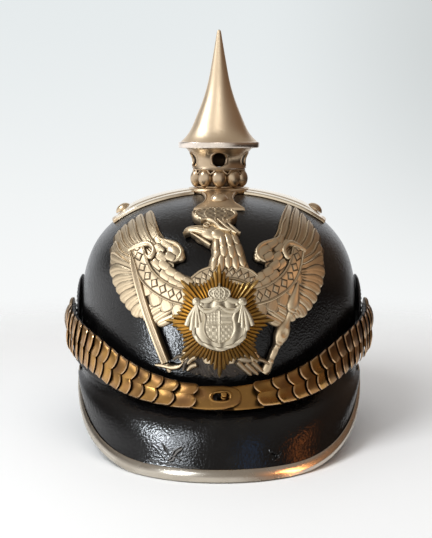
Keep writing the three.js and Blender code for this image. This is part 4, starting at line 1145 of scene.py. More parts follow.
def ribbon_height(t, k):
    """Flat field between wire-like rims, with a row of raised lozenges."""
    rims = 0.8 * bump(np.abs(k), 0.88, 0.1) - 0.2 * bump(np.abs(k), 0.68, 0.09)
    return 4.35 + rims + 0.55 * lozenge_row(t, k, RIBBON_LOZENGES)


def lozenge_shade(t, k, count):
    """Dark outline painted around each lozenge as the shade of lettering, and a painted shade line inside
    each rim.
    """
    return 1.7 * bump(lozenge_depth(t, k, count), 0.06, 0.2) + 0.9 * bump(np.abs(k), 0.7, 0.08)


def ribbon_recess(t, k):
    """Dark lettering outlines, painted shade along the rims and edges, and a field painted paler as a painted
    highlight.
    """
    dark = lozenge_shade(t, k, RIBBON_LOZENGES) + 0.8 * (np.abs(k) > 0.97)
    return dark - 0.3 * np.clip(1 - 2 * dark, 0, 1)


# Short feathers over the roots of the flight feathers: root, tip, half width, height
COVERTS = [
    ((54, 71.5), (51.6, 64.2), 4.6, 2.7), ((48.6, 65.6), (45.6, 57.6), 5.4, 2.7),
    ((42.4, 61), (38.6, 52.4), 5.6, 2.8), ((35, 58), (31.4, 49.6), 5.6, 2.75),
    ((27.4, 56.2), (24.2, 47.6), 5.2, 2.7), ((37, 88), (41.5, 96), 3.4, 3.1),
    ((31, 88.6), (37.6, 93), 3.5, 3.4), ((40, 85), (46, 92), 3.6, 3.2),
    ((35.5, 84.6), (41.6, 89), 3.6, 3.7), ((33, 79.4), (39.8, 83.4), 3.6, 3.9),
    ((27.6, 80.4), (33.6, 83), 3.3, 4.3), ((31, 74.6), (38, 78.4), 3.5, 3.8),
    ((36.4, 74.6), (42.6, 79), 3.3, 3.6), ((26.8, 71.4), (33.4, 74.4), 3.3, 3.6),
    ((21.4, 68.6), (27.6, 71.4), 3.2, 3.6), ((16.2, 66.4), (22, 68.6), 3.0, 3.6),
    ((31, 68.4), (37, 72.6), 3.2, 3.5), ((25.4, 66), (31.4, 68.6), 3.0, 3.4),
    ((20, 64), (26, 65.6), 2.8, 3.4),
]
BROAD_COVERT = 4


def covert(root, tip, half, lift, sign):
    """Short domed feather with a round tip; a broad one shows its barbs."""
    root, tip = np.array(root, float), np.array(tip, float)
    broad = half > BROAD_COVERT

    def height(t, k):
        body = 0.85 * rounded(k, 0.9) + 0.55 * ease(t)
        return lift + body - 0.7 * ease((t - 0.84) / 0.16)

    # Painted shade at the rim and toward the root; a broad feather also gets dark barb lines
    def recess(t, k):
        barbs = broad * (0.22 - 0.2 * np.cos(5 * np.pi * k))
        rim = np.maximum(np.abs(k) ** 4, ease((t - 0.86) / 0.1))
        return 1.3 * rim + 0.6 * ease((0.3 - t) / 0.3) + barbs

    half_at = rounded_half(half * 0.8, half, 0.45)
    strip = Strip([root, (root + tip) / 2, tip], half_at, height, PLATE.stand + 0.4, sign)
    return strip.solid(18, 36 if broad else 12, recess)


def wing(sign):
    """Ground sheet, flight feathers, coverts, ribbon with its scroll, and the smooth shoulder."""
    lines = np.stack([along(quill_line(quill), np.linspace(0, 0.86, 14)) for quill in QUILLS])
    fan = along(lines, np.linspace(0, 1, 48))
    levels = [np.full(fan.shape[:2], level) for level in (1.4, PLATE.stand)]
    # The ground sheet under the feathers is painted fully dark as the shade between them
    solids = [shell(*(on_wing(sign, fan[..., 0], fan[..., 1], level) for level in levels), recess=1.0)]
    solids += [feather(quill, order, sign) for order, quill in enumerate(QUILLS)]
    for line, half in (
        ([(50, 84), (38, 88), (27, 86)], [5.5, 6.4, 4.2]),
        ([(50, 79), (38, 79), (29, 79.5)], [6, 5.6, 3.4]),
        ([(47, 74), (32, 69.6), (14, 65)], [6, 5.2, 4.2]),
        ([(20, 52), (33, 53), (47, 60)], [5, 5, 4]),
    ):
        solids.append(Strip(line, half, round_ridge(2.0, 2.8), sign=sign).solid())
    solids += [covert(*row, sign) for row in COVERTS]
    ribbon = Strip(RIBBON_LINE, RIBBON_HALF, ribbon_height, PLATE.over, sign)
    solids.append(ribbon.solid(180, 26, ribbon_recess))
    scroll = [(61.5, 84), (53.2, 88.2), (46.2, 89.8), (42, 85.8), (44.5, 80.8), (48, 82.5)]
    solids.append(Strip(scroll, [1.3, 2.0, 2.2, 2.1, 1.7, 0.8], round_ridge(3.4, 5.6), PLATE.over,
                        sign).solid(40, 12))
    solids.append(boss(28, 85.2, 7.2, 4.8, 2.8, 4.8, sign, 35, shade=0.3))
    edge = [(28.8, 78.8), (25, 81.6), (23.6, 86.0), (26.4, 90.2), (31, 92.2), (37.8, 93.6), (40.4, 96.4),
            (43.4, 103), (48, 107.4)]
    solids.append(Strip(edge, [0.7, 1.3, 1.7, 1.8, 1.6, 1.3, 1.2, 1.1, 0.5], round_ridge(2.6, 4.7),
                        sign=sign).solid(60, 10))
    return solids


def sword():
    """Blade with lengthwise ridges, a hooked guard and a grip."""
    def height(t, k):
        ridges = 0.5 * bump(k, 0, 0.16) + 0.35 * bump(np.abs(k), 0.72, 0.12)
        return 3.6 + 1.5 * rounded(k ** 2) + ridges

    # Painted shade in the grooves beside the middle ridge and along the edges
    def recess(t, k):
        return 0.85 * bump(np.abs(k), 0.36, 0.14) + 0.9 * np.abs(k) ** 8

    blade = Strip([(-59.6, 82.6), (-46, 48.8), (-33.2, 19.4)], [0.5, 2.5, 2.8, 2.9, 2.9, 2.9, 2.8, 2.7],
                  height, PLATE.over)
    guard = [(-39.4, 17.6), (-34, 17.2), (-28.6, 16.6), (-24.4, 17.6), (-21.6, 20.4)]
    grip = [(-32.6, 18.4), (-31.4, 16), (-30.4, 13.8)]
    return [
        blade.solid(60, 16, recess),
        Strip(guard, [0.7, 1.5, 1.7, 1.5, 0.5], round_ridge(3.2, 5.6), PLATE.over).solid(30, 10),
        Strip(grip, [1.9, 2.2, 1.5], round_ridge(2.6, 5.0), 1.0).solid(20, 10),
    ]


def sceptre():
    """Baluster of bulbs and collars with an oval dimple."""
    line = [(52, 66.5), (46.6, 52.4), (41, 40), (34.6, 27), (27.6, 13)]
    half = [0.8, 1.3, 2.1, 3.0, 3.9, 4.4, 4.2, 3.0, 2.1, 1.9, 2.6, 3.9, 4.5, 4.5, 3.9, 2.5, 1.9, 2.3, 2.0,
            2.2, 2.8, 3.0, 2.5]

    def from_dimple(t, k):
        return np.hypot((t - 0.56) / 0.055, k / 0.5)

    def height(t, k):
        wide = along(half, t) / 3.9
        collars = sum(0.7 * bump(t, at, 0.012) for at in (0.31, 0.345, 0.68, 0.715, 0.86))
        dimple = 0.9 * bump(from_dimple(t, k), 0.0, 0.75) - 0.55 * bump(from_dimple(t, k), 1.0, 0.3)
        return 3.2 + (1.0 + 1.6 * wide) * rounded(k) + collars - dimple

    # Painted shade at the sides, in the grooves between collars and in the dimple
    def recess(t, k):
        grooves = sum(bump(t, at, 0.01) for at in (0.328, 0.698, 0.84))
        return 0.9 * np.abs(k) ** 5 + 0.7 * grooves + 0.5 * bump(from_dimple(t, k), 0, 0.6)

    return [Strip(line, half, height, PLATE.over).solid(110, 14, recess)]


def crown(u, v, size, under, base, high, topped):
    """Arched crown: jewelled band, pebbled caps and beaded arches, some topped by an orb and a cross."""
    def spot(x, y):
        return (u + x * size, v + y * size)

    def dome(t, k):
        pebbles = 0.3 * np.sin(k * 16) * np.sin(t * 22)
        return base + (high - base) * (0.5 + 0.38 * rounded(k)) + pebbles * size

    def beaded(t, k):
        beads = 0.32 * np.abs(np.sin(t * 9 * np.pi)) * size
        return high - 0.4 * size + beads - 0.9 * size * k ** 2

    cap = Strip([spot(0, 0), spot(0, 7), spot(0, 14)],
                [s * size for s in (8.4, 10.5, 12.8, 12.9, 10.4, 4)], dome, under)
    solids = [cap.solid(26, 30, lambda t, k: 0.45 + 0.4 * np.sin(k * 16) * np.sin(t * 22))]
    band = Strip([spot(-8.8, 0.8), spot(0, -0.7), spot(8.8, 0.8)], [1.7 * size] * 3,
                 round_ridge(base + 0.5, high), under)
    solids.append(band.solid(40, 8))
    for bead in np.linspace(-0.84, 0.84, 7):
        x, y = spot(8.8 * bead, 0.1 + 0.7 * bead ** 2)
        solids.append(boss(x, y, 0.95 * size, 0.95 * size, high - 0.3, high + 0.55 * size, base=base,
                           rows=6, columns=14))
    for reach in (-1.0, -0.52, 0.0, 0.52, 1.0):
        line = [spot(8.2 * reach, 1.6), spot(12.4 * reach, 6.6), spot(10.6 * reach, 11),
                spot(4.6 * reach, 13.6), spot(0, 13.8)]
        solids.append(Strip(line, [1.2 * size, 1.25 * size, 1.2 * size, 1.0 * size, 0.8 * size], beaded,
                            under).solid(54, 8))
    if topped:
        ridge = round_ridge(base, high - 0.6)
        solids.append(boss(*spot(0, 15.2), 1.9 * size, 1.9 * size, base, high, base=under))
        solids.append(Strip([spot(0, 16.2), spot(0, 19.2)], [0.5 * size, 0.7 * size], ridge,
                            under).solid(8, 6))
        solids.append(Strip([spot(-1.5, 17.9), spot(1.5, 17.9)], [0.6 * size, 0.6 * size], ridge,
                            under).solid(8, 6))
    return solids


def head():
    """Neck with long drop-shaped feathers, head with brow and eye, hooked beak, crown and its streamer."""
    line = [(6.4, 64), (5.8, 72), (5.3, 78), (5.2, 84), (4.2, 89), (3.0, 95), (-0.6, 101)]
    half = [15.6, 13.4, 12, 10.4, 9.7, 8.6, 7.2]

    def neck_height(t, k):
        return 2.6 + (1.4 + 3.0 * ease(t * 1.3)) * rounded(k, 0.97)

    neck = Strip(line, half, neck_height)
    solids = [neck.solid(44, 24)]
    for top, low, count in ((0.56, 0.24, 5), (0.75, 0.43, 4), (0.95, 0.62, 4)):
        for place in range(count):
            middle = (place + 0.5) / count * 2 - 1
            solids.append(neck.leaf(top, low - 0.03 * (place % 2), middle * 0.92, 1.02 / count, 1.5))
    solids.append(boss(-4.6, 99.4, 8.6, 6.6, 4.2, 7.8, turn=-14))
    solids.append(boss(-0.6, 96.4, 5.4, 4.4, 5.4, 8.6, turn=-20))

    def beak_height(t, k):
        ridges = sum(bump(k, at, 0.09) for at in (0.2, 0.45, 0.7))
        return 3.2 + (4.6 - 1.6 * t) * rounded(k, fullness=0.6) + 0.4 * ridges * ease(1.5 - 1.6 * t)

    # Painted shade at the sides and in the grooves of the beak
    def beak_recess(t, k):
        grooves = sum(bump(k, at, 0.07) for at in (0.07, 0.33, 0.58))
        return 0.9 * np.abs(k) ** 6 + 0.6 * grooves * ease(1.5 - 1.6 * t)

    beak = [(-4, 99.2), (-10, 100.8), (-15.6, 101.4), (-19.8, 100.6), (-22.4, 97.2)]
    beak_half = [5.0, 4.5, 3.2, 2.1, 0.4]
    solids.append(Strip(beak, beak_half, beak_height, PLATE.over).solid(40, 28, beak_recess))
    solids.append(boss(-9.6, 94.6, 6.0, 2.4, 2.0, 3.4, turn=-14))
    # The boss under the beak is painted fully dark as the shade beneath it
    solids[-1].recess[:] = 1.0
    for line, half, low, high, base in (
        ([(-17.8, 98), (-13.8, 95.8), (-8.4, 92.2), (-5.4, 89.8)], [0.4, 1.0, 1.4, 1.0], 3, 6.0,
         PLATE.over),
        ([(-11.5, 105.5), (-7.2, 107.4), (-3.2, 104.8), (1, 99.8), (6.2, 97.2)], [0.7, 1.4, 1.5, 1.4, 0.4],
         6.2, 9.2, 4),
        ([(-1, 107.4), (2.8, 103), (6.5, 99.2), (10, 96)], [0.9, 1.4, 1.3, 0.4], 5.6, 8.4, 3),
        ([(5.5, 106.2), (8.2, 102.8), (11.5, 98.8), (13, 98.2)], [0.9, 1.3, 1.2, 0.4], 3.6, 6.2,
         PLATE.over),
        ([(-12, 110), (-15, 112.2), (-16.6, 115.6), (-16, 117.4)], [1.1, 1.4, 1.2, 0.6], 3.6, 6.8,
         PLATE.over),
    ):
        solids.append(Strip(line, half, round_ridge(low, high), base).solid(32, 10))
    turn = np.linspace(0, 2 * np.pi, 13)
    lid = np.stack([-7.6 + 1.9 * np.cos(turn), 102.2 + 1.3 * np.sin(turn)], -1)
    solids.append(Strip(lid, [0.5] * len(turn), round_ridge(7.4, 8.8), 5).solid(30, 6))
    solids.append(boss(-7.6, 102.2, 0.95, 0.85, 7.2, 8.6, base=5, rows=6, columns=14))
    cap = crown(-2.3, 107.2, 1.0, PLATE.stand, 4.6, 7.2, False)
    cap[0].tarnish[:] = 0.3
    return solids + cap


COLLAR_LOZENGES = 9


def collar_height(t, k):
    """Band across the breast between raised rims, with lozenges along it."""
    return 4.8 + 0.75 * bump(np.abs(k), 0.86, 0.12) + 0.5 * lozenge_row(t, k, COLLAR_LOZENGES)


def collar_recess(t, k):
    """Dark outlines of the collar's lozenges."""
    return lozenge_shade(t, k, COLLAR_LOZENGES)


def breast_and_legs():
    """Breast under the star, feathered legs and both claws."""
    solids = [Strip([(0, 20), (0, 45), (0, 66)], [10, 14, 15, 15, 13], round_ridge(2.4, 4.2)).solid(20, 12)]
    for side in (-1, 1):
        leg = Strip([(9, 33), (17, 26), (23, 20.6)], [6.4, 5, 3.6], round_ridge(2.2, 4.2), sign=side)
        solids.append(leg.solid())
        for place in range(5):
            solids.append(leg.leaf(0.1 + 0.15 * place, 0.36 + 0.15 * place, 0.4 * (-1) ** place, 0.55, 0.8))
    # Toes of both claws: middle line, half width, darkness
    toes = [
        ([(-13.6, 24), (-16.8, 22.6), (-18.8, 19.6)], 1.9, 0.3),
        ([(-13.6, 19.2), (-16.8, 18), (-19.2, 15.6)], 1.9, 0.3),
        ([(-17.6, 23), (-20.6, 19.6), (-21.4, 15.4)], 1.5, 0.95),
        ([(-20.4, 24), (-25, 23.6), (-28, 21.6)], 1.1, 0.8),
        ([(10.6, 21), (14.8, 16.8), (19, 12.8)], 2.0, 0.45),
        ([(15.4, 20), (19.6, 16), (23, 13)], 2.0, 0.4),
        ([(19.4, 20.8), (22.8, 17.4), (25.6, 14.4)], 1.9, 0.4),
        ([(20.4, 22.4), (25.6, 21.4), (30.4, 18.6)], 1.4, 0.4),
    ]
    for line, half, dull in toes:
        solids.append(Strip(line, rounded_half(half, half * 0.85, 0.7), round_ridge(3.2, 5.8),
                            PLATE.over).solid(20, 12))
        solids[-1].tarnish[:] = dull
    solids.append(boss(15.4, 22.2, 5.4, 2.6, 3.0, 5.6, turn=-6))
    solids[-1].tarnish[:] = 0.5
    return solids


def tail():
    """Dark pebbled tail under the star."""
    solids = []
    for place, tip in enumerate([(-17.5, 13.5), (-9, 11.4), (0, 10.8), (9, 11.4), (17.5, 13.5)]):
        root = np.array((tip[0] * 0.42, 29.0))

        def height(t, k, place=place):
            pebbles = 0.4 * np.sin(17 * k + 2 * place) * np.sin(48 * t + 5 * k)
            return 2.0 + 0.9 * rounded(k) + pebbles

        strip = Strip([root, (root + tip) / 2, tip], rounded_half(5.2, 5.2, 0.7), height)
        solids.append(strip.solid(44, 22, lambda t, k: 0.4 + 0 * t * k))
    for part in solids:
        part.tarnish[:] = 1.0
    return solids


def make_eagle():
    """The whole eagle in relief, as one piece."""
    line = [(-14.4, 66.6), (-9.8, 70.2), (-5, 72.1), (0.8, 73.2), (6.2, 73.2), (11.6, 72.3), (17, 70.4),
            (20.8, 67.4)]
    collar = Strip(line, [4.4] * len(line), collar_height, PLATE.over).solid(130, 20, collar_recess)
    solids = tail() + breast_and_legs() + wing(-1) + wing(1) + head() + [collar] + sword() + sceptre()
    piece("eagle_relief", joined(solids), plate_gilt, ["eagle_plate"], 55)


# Lengths of the star's rays from one long point to the next
RAY_LENGTHS = [32.6, 28.4, 25.8, 24.6, 24.2, 24.6, 25.8, 28.4]


def make_star():
    """Eight long points with graded rays between them, each ray a sharp ridge."""
    per_ray = 6
    columns = STAR.rays * per_ray
    turn = 2 * np.pi * np.arange(columns) / columns
    place = (np.arange(columns) + per_ray / 2) % per_ray / per_ray - 0.5
    ray = ((np.arange(columns) + per_ray // 2) // per_ray) % len(RAY_LENGTHS)
    off = np.abs(place) * 2
    long_point = (ray == 0).astype(float)
    length = np.array(RAY_LENGTHS)[ray] - (1.5 + 1.6 * long_point) * off ** 1.2
    share = np.linspace(0, 1, 22)[:, None] ** 0.9
    reach = share * length[None]
    ridge = (1.25 + 0.5 * long_point)[None] * (1 - off[None]) * ease(share * 2.2) - 0.5
    slope = STAR.middle + (STAR.edge - STAR.middle) * share
    top = slope + ridge - 0.5 * ease((share - 0.9) / 0.1)
    u, v = reach * np.sin(turn), STAR.v + reach * np.cos(turn)
    # The valleys between the rays are painted dark as shade
    deep = 0.95 * off[None] ** 1.5 + 0 * share
    body = shell(on_plate(u, v, top), on_plate(u, v, np.full(top.shape, STAR.base)), True, deep)
    # Darker toward the bottom of the star
    darker_low = 0.55 * ease((STAR.v - v) / 24)
    body.tarnish[:] = np.tile(darker_low.ravel(), len(body.tarnish) // darker_low.size)
    piece("rayed_star", body, star_gilt, ["breast_star"], 25)


def make_arms():
    """Mantle with folds and knots, a quartered shield and an arched crown."""
    base = ARMS.base

    def cloth(t, k):
        folds = 0.4 * np.sin(k * 11) * ease((t - 0.1) / 0.3)
        return base + 0.7 + 0.5 * rounded(k) + folds

    mantle = Strip([(0, 29.6), (0, 43), (0, 58.4)], [2.4, 10, 13, 14.6, 15, 14.6, 13.6, 12, 7], cloth, base)
    # Painted shade in the fold hollows
    solids = [mantle.solid(40, 44, lambda t, k: 0.4 - 0.4 * np.sin(k * 11))]
    hem = [(-14.2, 43.4), (-13.6, 37.8), (-9.8, 33.6), (-4.8, 31.2), (0, 30), (4.8, 31.2), (9.8, 33.6),
           (13.6, 37.8), (14.2, 43.4)]

    def hem_height(t, k):
        ruffle = np.sin(t * 13 * np.pi + 1.2 * k)
        return base + 1.1 + 0.6 * rounded(k) + 0.22 * ruffle

    # Painted shade in the ruffle hollows and at the edges
    def hem_recess(t, k):
        return 0.3 - 0.3 * np.sin(t * 13 * np.pi + 1.2 * k) + 0.5 * np.abs(k) ** 5

    hem_half = [0.8, 1.2, 1.3, 1.3, 1.3, 1.3, 1.3, 1.2, 0.8]
    solids.append(Strip(hem, hem_half, hem_height, base).solid(140, 8, hem_recess))
    for side in (-1, 1):
        for foot, half in (((18.2, 43.6), 1.5), ((15.4, 41), 1.5), ((12.6, 42.6), 1.4),
                           ((10.6, 45.4), 1.1)):
            fold = Strip([(12.4, 55), (0.35 * 12.4 + 0.65 * foot[0], 49), foot], [0.9, half * 0.9, half],
                         round_ridge(base + 0.9, base + 2.4), base, side)
            solids.append(fold.solid(20, 8))
        swag = Strip([(11.6, 54.6), (8.6, 51.6), (4.4, 51.6), (0, 54.4)], [1.1, 1.5, 1.5, 1.0],
                     round_ridge(base + 1.0, base + 2.3), base, side)
        solids.append(swag.solid(26, 8))
        upper = Strip([(11.6, 56.4), (7.4, 56.6), (3.4, 58.4)], [1.0, 1.7, 1.4],
                      round_ridge(base + 0.8, base + 1.9), base, side)
        solids.append(upper.solid(20, 8))
        solids.append(boss(12.6, 56.2, 2.6, 2.4, base + 1.0, base + 2.9, side, base=base))
        solids.append(boss(12.6, 56.4, 1.1, 1.0, base + 2.6, base + 3.4, side, base=base, rows=6,
                           columns=14))
        solids.append(boss(9.8, 55, 1.4, 1.3, base + 1.0, base + 2.3, side, base=base, rows=6, columns=14))
    solids += shield(base + 1.6)
    solids += crown(0, 57.2, 0.46, base - 1, base, base + 2.2, True)
    piece("mantled_shield", joined(solids), silver, ["star_arms"], 50)


SHIELD = Sizes(low=33.6, high=53, halves=[0.6, 5.4, 7.8, 8.8, 8.6, 8.0, 8.9, 9.5])


def shield(level):
    """Quartered shield with scalloped sides: bars, crosslets, lozenges and checks in its quarters."""
    def height(t, k):
        x = k * along(SHIELD.halves, t)
        y = SHIELD.low + (SHIELD.high - SHIELD.low) * t
        rim = 0.7 * np.maximum(ease((np.abs(k) - 0.86) / 0.08), ease((t - 0.94) / 0.03))
        cross = 0.45 * np.maximum(bump(x, 0, 0.35), bump(y, 44.4, 0.35))
        bars = ease(1.5 * np.sin(y * 2.1)) * (x < -0.8) * (y > 45)
        lattice = ease(1.5 * np.sin((x + y) * 1.9) * np.sin((x - y) * 1.9) + 0.2) * (x > 0.8) * (y > 45)
        dots = ease(1.6 * np.sin(x * 2.0) * np.sin(y * 2.0)) * (x < -0.8) * (y < 43.8)
        checks = (np.sin(x * 1.7) * np.sin(y * 1.7) > 0) * (x > 0.8) * (y < 43.8)
        inside = ease((0.84 - np.abs(k)) / 0.05) * ease((0.92 - t) / 0.03)
        return level + rim + cross * inside + 0.22 * (bars + lattice + dots + checks) * inside

    # The low field is painted darker than the raised charges, as shade
    def recess(t, k):
        raised = (height(t, k) - level) / 0.7
        return 0.55 - 0.55 * np.clip(1.6 * raised, 0, 1)

    line = [(0, SHIELD.low), (0, (SHIELD.low + SHIELD.high) / 2), (0, SHIELD.high)]
    return [Strip(line, SHIELD.halves, height, level - 2).solid(76, 72, recess)]


# Chin strap pieces

def make_strap_leather():
    """Backing of the strap; on the left it sags below the scales."""
    profile = softened([(-1, 0), (1, 0), (1, LEATHER.thick), (-1, LEATHER.thick)], 0.09, 4)
    for side in (SCALES_LEFT, SCALES_RIGHT):
        run = np.linspace(LEATHER.centre_gap, STRAP_HALF_RUN - LEATHER.start_at, 120)[:, None]
        edge = LEATHER.share + 0.015 * np.sin(run * 0.9) + 0.01 * np.sin(run * 2.3 + 1)
        sag = 0.42 * ease((run - 62) / 22) * ease((146 - run) / 14) * (side.way < 0)
        across = profile[None, :, 0] * np.where(profile[None, :, 0] < 0, edge + sag, edge)
        sections = strap_point(side.way * run, across, profile[None, :, 1] + 0 * run)
        node = f"strap_leather_{side.name}"
        piece(f"chin_leather_{side.name}", swept(sections), strap_hide, [node], 50)


def lobed(k):
    """How far the free end of a scale falls back across it: two lobes with a notch between them."""
    return SCALE.notch * (1 - np.abs(np.sin(np.pi * (k + 1))) ** 0.8)


def scale_body(way, free_end, length, number, darkening):
    """Crowned plate with a two-lobed free end, edges paled as rubbed metal and a painted highlight, a painted
    shadow past the covering scale, and uneven tarnish with one long side painted darker as shade.
    """
    share = np.linspace(0, 1, 25)[:, None]
    k = np.linspace(-1, 1, 41)[None]
    full = length - lobed(k)
    run = full * share
    from_end = full - run
    edge = np.minimum(from_end, 10 * (1 - np.abs(k)))
    tilt = SCALE.tilt + 0.03 + 0.012 * math.sin(number * 2.4)
    fingers = 0.5 * np.abs(np.sin(np.pi * k)) ** 0.8 * ease(1.4 * share)
    crowned = SCALE.crowning * (1 - np.abs(k) ** 3.2) + fingers
    dent = 0.22 * np.sin(number * 1.7 + 2.1 * k) * np.sin(0.5 * run + number)
    low = SCALE_SEAT + tilt * run + crowned + dent
    top = low + SCALE.metal - 0.5 * (1 - ease(edge / 0.9))
    # Painted shadow past the edge of the covering scale, painted shade in the notch, and edges paled partly
    # as rubbed metal and partly as a painted highlight
    shade = ease((SCALE.overlap - lobed(k) + 1.9 - run) / 1.5)
    valley = 0.6 * bump(k, 0, 0.06) * ease((5 - from_end) / 3)
    bright = 0.8 * ease((0.95 - edge) / 0.6)
    place = way * (free_end + length - run)
    body = shell(strap_point(place, k, top), strap_point(place, k, np.minimum(low, top - 0.25)),
                 recess=np.clip(shade + valley, 0, 1) - bright * (1 - shade))
    # Random clouds of tarnish; the term in k paints one long side of each scale darker as shade
    clouds_and_shade = 0.3 * np.sin(1.9 * number + 3.4 * k) * np.sin(4.2 * share + 1.3 * number)
    clouds_and_shade = clouds_and_shade + (0.2 + 0.1 * way) * k
    body.tarnish[:] = np.tile(np.clip(darkening + clouds_and_shade, 0, 1).ravel(), 2)
    return body


def make_scales():
    """Overlapping scales along both halves of the strap, darker by their place along it."""
    for side in (SCALES_LEFT, SCALES_RIGHT):
        free_end = side.first_end
        for number in range(side.count):
            pitch = SCALE.pitch + SCALE.widen * math.exp(-number / SCALE.fade)
            if side.way < 0:
                darkening = 0.45 - 0.3 * ease((number - 2) / 6)
            else:
                darkening = 0.1 + 0.4 * ease((number - 2) / 4)
            darkening += 0.2 * math.sin(2.7 * number)
            body = scale_body(side.way, free_end, pitch + SCALE.overlap, number + 3 * side.way, darkening)
            label = f"{side.name}_{number + 1:02d}"
            piece(f"chin_scale_{label}", body, deep_gilt, [f"scale_{label}"], 45)
            free_end += pitch


def stadium(length, width, count):
    """Outline of a slot with round ends."""
    angle = full_turn(count)
    straight = (length - width) / 2 * np.sign(np.cos(angle)) * ease(np.abs(np.cos(angle)) * 6)
    return np.stack([straight + width / 2 * np.cos(angle), width / 2 * np.sin(angle)], -1)


CLASP_HALF = float(strap_value(STRAP_HALF, np.array(0.0)))


def make_tongue():
    """Slotted tongue of the clasp, square at its root and round at its tip."""
    count = 96
    half = CLASP_HALF
    slot = stadium(TONGUE.slot_length, TONGUE.slot_width, count) + [TONGUE.slot_at, 0]
    angle = np.arctan2(slot[:, 1] * 1.2, slot[:, 0] - TONGUE.slot_at)
    start, end = -TONGUE.start, -TONGUE.end
    middle, reach = (start + end) / 2, (end - start) / 2
    corner = (np.abs(np.cos(angle)) ** 5 + np.abs(np.sin(angle)) ** 5) ** (-1 / 5)
    round_corner = (np.abs(np.cos(angle)) ** 2.3 + np.abs(np.sin(angle)) ** 2.3) ** (-1 / 2.3)
    blend = ease((np.cos(angle) + 0.2) / 0.6)
    shape = corner * (1 - blend) + round_corner * blend
    rim = np.stack([middle + reach * shape * np.cos(angle), 0.97 * half * shape * np.sin(angle)], -1)
    rim[:, 0] = np.clip(rim[:, 0], start, end)
    rows = np.linspace(0, 1, 20)[:, None, None] ** 1.1
    place = slot[None] * (1 - rows) + rim[None] * rows
    from_slot = np.linalg.norm(place - slot[None], axis=-1)
    from_rim = np.linalg.norm(place - rim[None], axis=-1)
    k = place[..., 1] / half
    lift = SCALE_SEAT + TONGUE.tilt * (place[..., 0] + TONGUE.start) + TONGUE.crowning * (1 - k ** 2)
    rolled = 0.5 * (1 - ease(from_rim / 0.9)) + 0.4 * (1 - ease(from_slot / 0.6))
    lip = 0.35 * bump(from_slot, 1.1, 0.5)
    top = lift + SCALE.metal + lip - rolled
    run = place[..., 0]
    # Painted shade in the grooves round the slot and at the root under the first scale
    grooves = 0.7 * bump(from_slot, 0.2, 0.4) + 0.5 * bump(from_slot, 2.1, 0.5)
    deep = grooves + 0.35 * ease((-8.5 - run) / 4)
    body = shell(strap_point(run, k, top), strap_point(run, k, np.minimum(lift, top - 0.2)), True, deep)
    body.tarnish[:] = TONGUE.tarnish
    piece("slotted_tongue", body, deep_gilt, ["clasp_tongue"], 50)


def make_end_plate():
    """Plain plate under the tongue."""
    share = np.linspace(0, 1, 40)[:, None]
    k = np.linspace(-1, 1, 25)[None]
    run = CLASP_PLATE.end + (CLASP_PLATE.start - CLASP_PLATE.end) * share
    edge = np.minimum(CLASP_HALF * (1 - np.abs(k)), run - CLASP_PLATE.end)
    lift = SCALE_SEAT + CLASP_PLATE.crowning * (1 - k ** 2) + 0 * run
    top = lift + SCALE.metal - 0.4 * (1 - ease(edge / 0.8)) - 0.25 * bump(run, 22.5, 0.5)
    # Painted shadow under the tongue's end and painted shade in the cross groove
    deep = 0.9 * ease((9 - run) / 2) + 0.7 * bump(run, 22.5, 0.7) + 0 * k
    body = shell(strap_point(run, 0.96 * k, top), strap_point(run, 0.96 * k, lift), recess=deep)
    body.tarnish[:] = CLASP_PLATE.tarnish
    piece("end_plate", body, deep_gilt, ["clasp_plate"], 50)


def make_tongue_stud():
    """Turned stud that holds the tongue."""
    r, top_z = CLASP_STUD.radius, CLASP_STUD.rise
    outline = softened([(0, 0), (r, 0), (r, 0.8), (r * 0.62, 1.3), (r * 0.62, top_z - 1.7),
                        (r, top_z - 1.1), (r * 0.86, top_z - 0.25), (0, top_z)], 0.3, 5)
    at = np.array(CLASP_STUD.at)
    seat = strap_point(at, 0.0, SCALE_SEAT + SCALE.metal + CLASP_PLATE.crowning + GAP)
    # The waist under the stud's head is painted dark as shade
    body = stood(turned(outline, 40, 0.5 * (outline[:, 1] < top_z - 1.2)), seat,
                 seat - strap_point(at, 0.0, 0.0))
    piece("tongue_stud", body, deep_gilt, ["clasp_stud"], 50)


ROSETTE_OUTLINE = [(0, 0), (ROSETTE.radius, 0), (ROSETTE.radius, 1.2), (13.4, 2.2), (12.4, 2.5),
                   (11.4, 2.0), (10.8, 2.0), (9.2, 3.9), (6.8, 5.3), (3.6, 6.2), (0, 6.4)]
COCKADE_OUTLINE = [(0, 0), (COCKADE.radius, 0), (COCKADE.radius, 0.9), (24.4, 1.5), (21, 2.4), (18.4, 2.1),
                   (15, 1.7), (0, 1.7)]


def polar(body):
    """Distance of each point from +Z, and its turn around it."""
    x, y = body.points[:, 0], body.points[:, 1]
    return np.hypot(x, y), np.arctan2(y, x)


def make_cockade(name, way):
    """Black disc with fine pleats, on the side of the skull."""
    body = turned(softened(COCKADE_OUTLINE, 0.5, 6), 240)
    radius, turn = polar(body)
    pleat = 0.35 * np.sin(turn * COCKADE.pleats) * ease((radius - 15.5) / 2) * ease((25.6 - radius) / 1.5)
    body.points[:, 2] += pleat * (body.points[:, 2] > 0.4)
    body = stood(body, (way * (SKULL.half_width + GAP), 0, COCKADE.z), (way, 0, 0))
    piece(f"pleated_cockade_{name}", body, black_lacquer, [f"cockade_{name}"], 40)


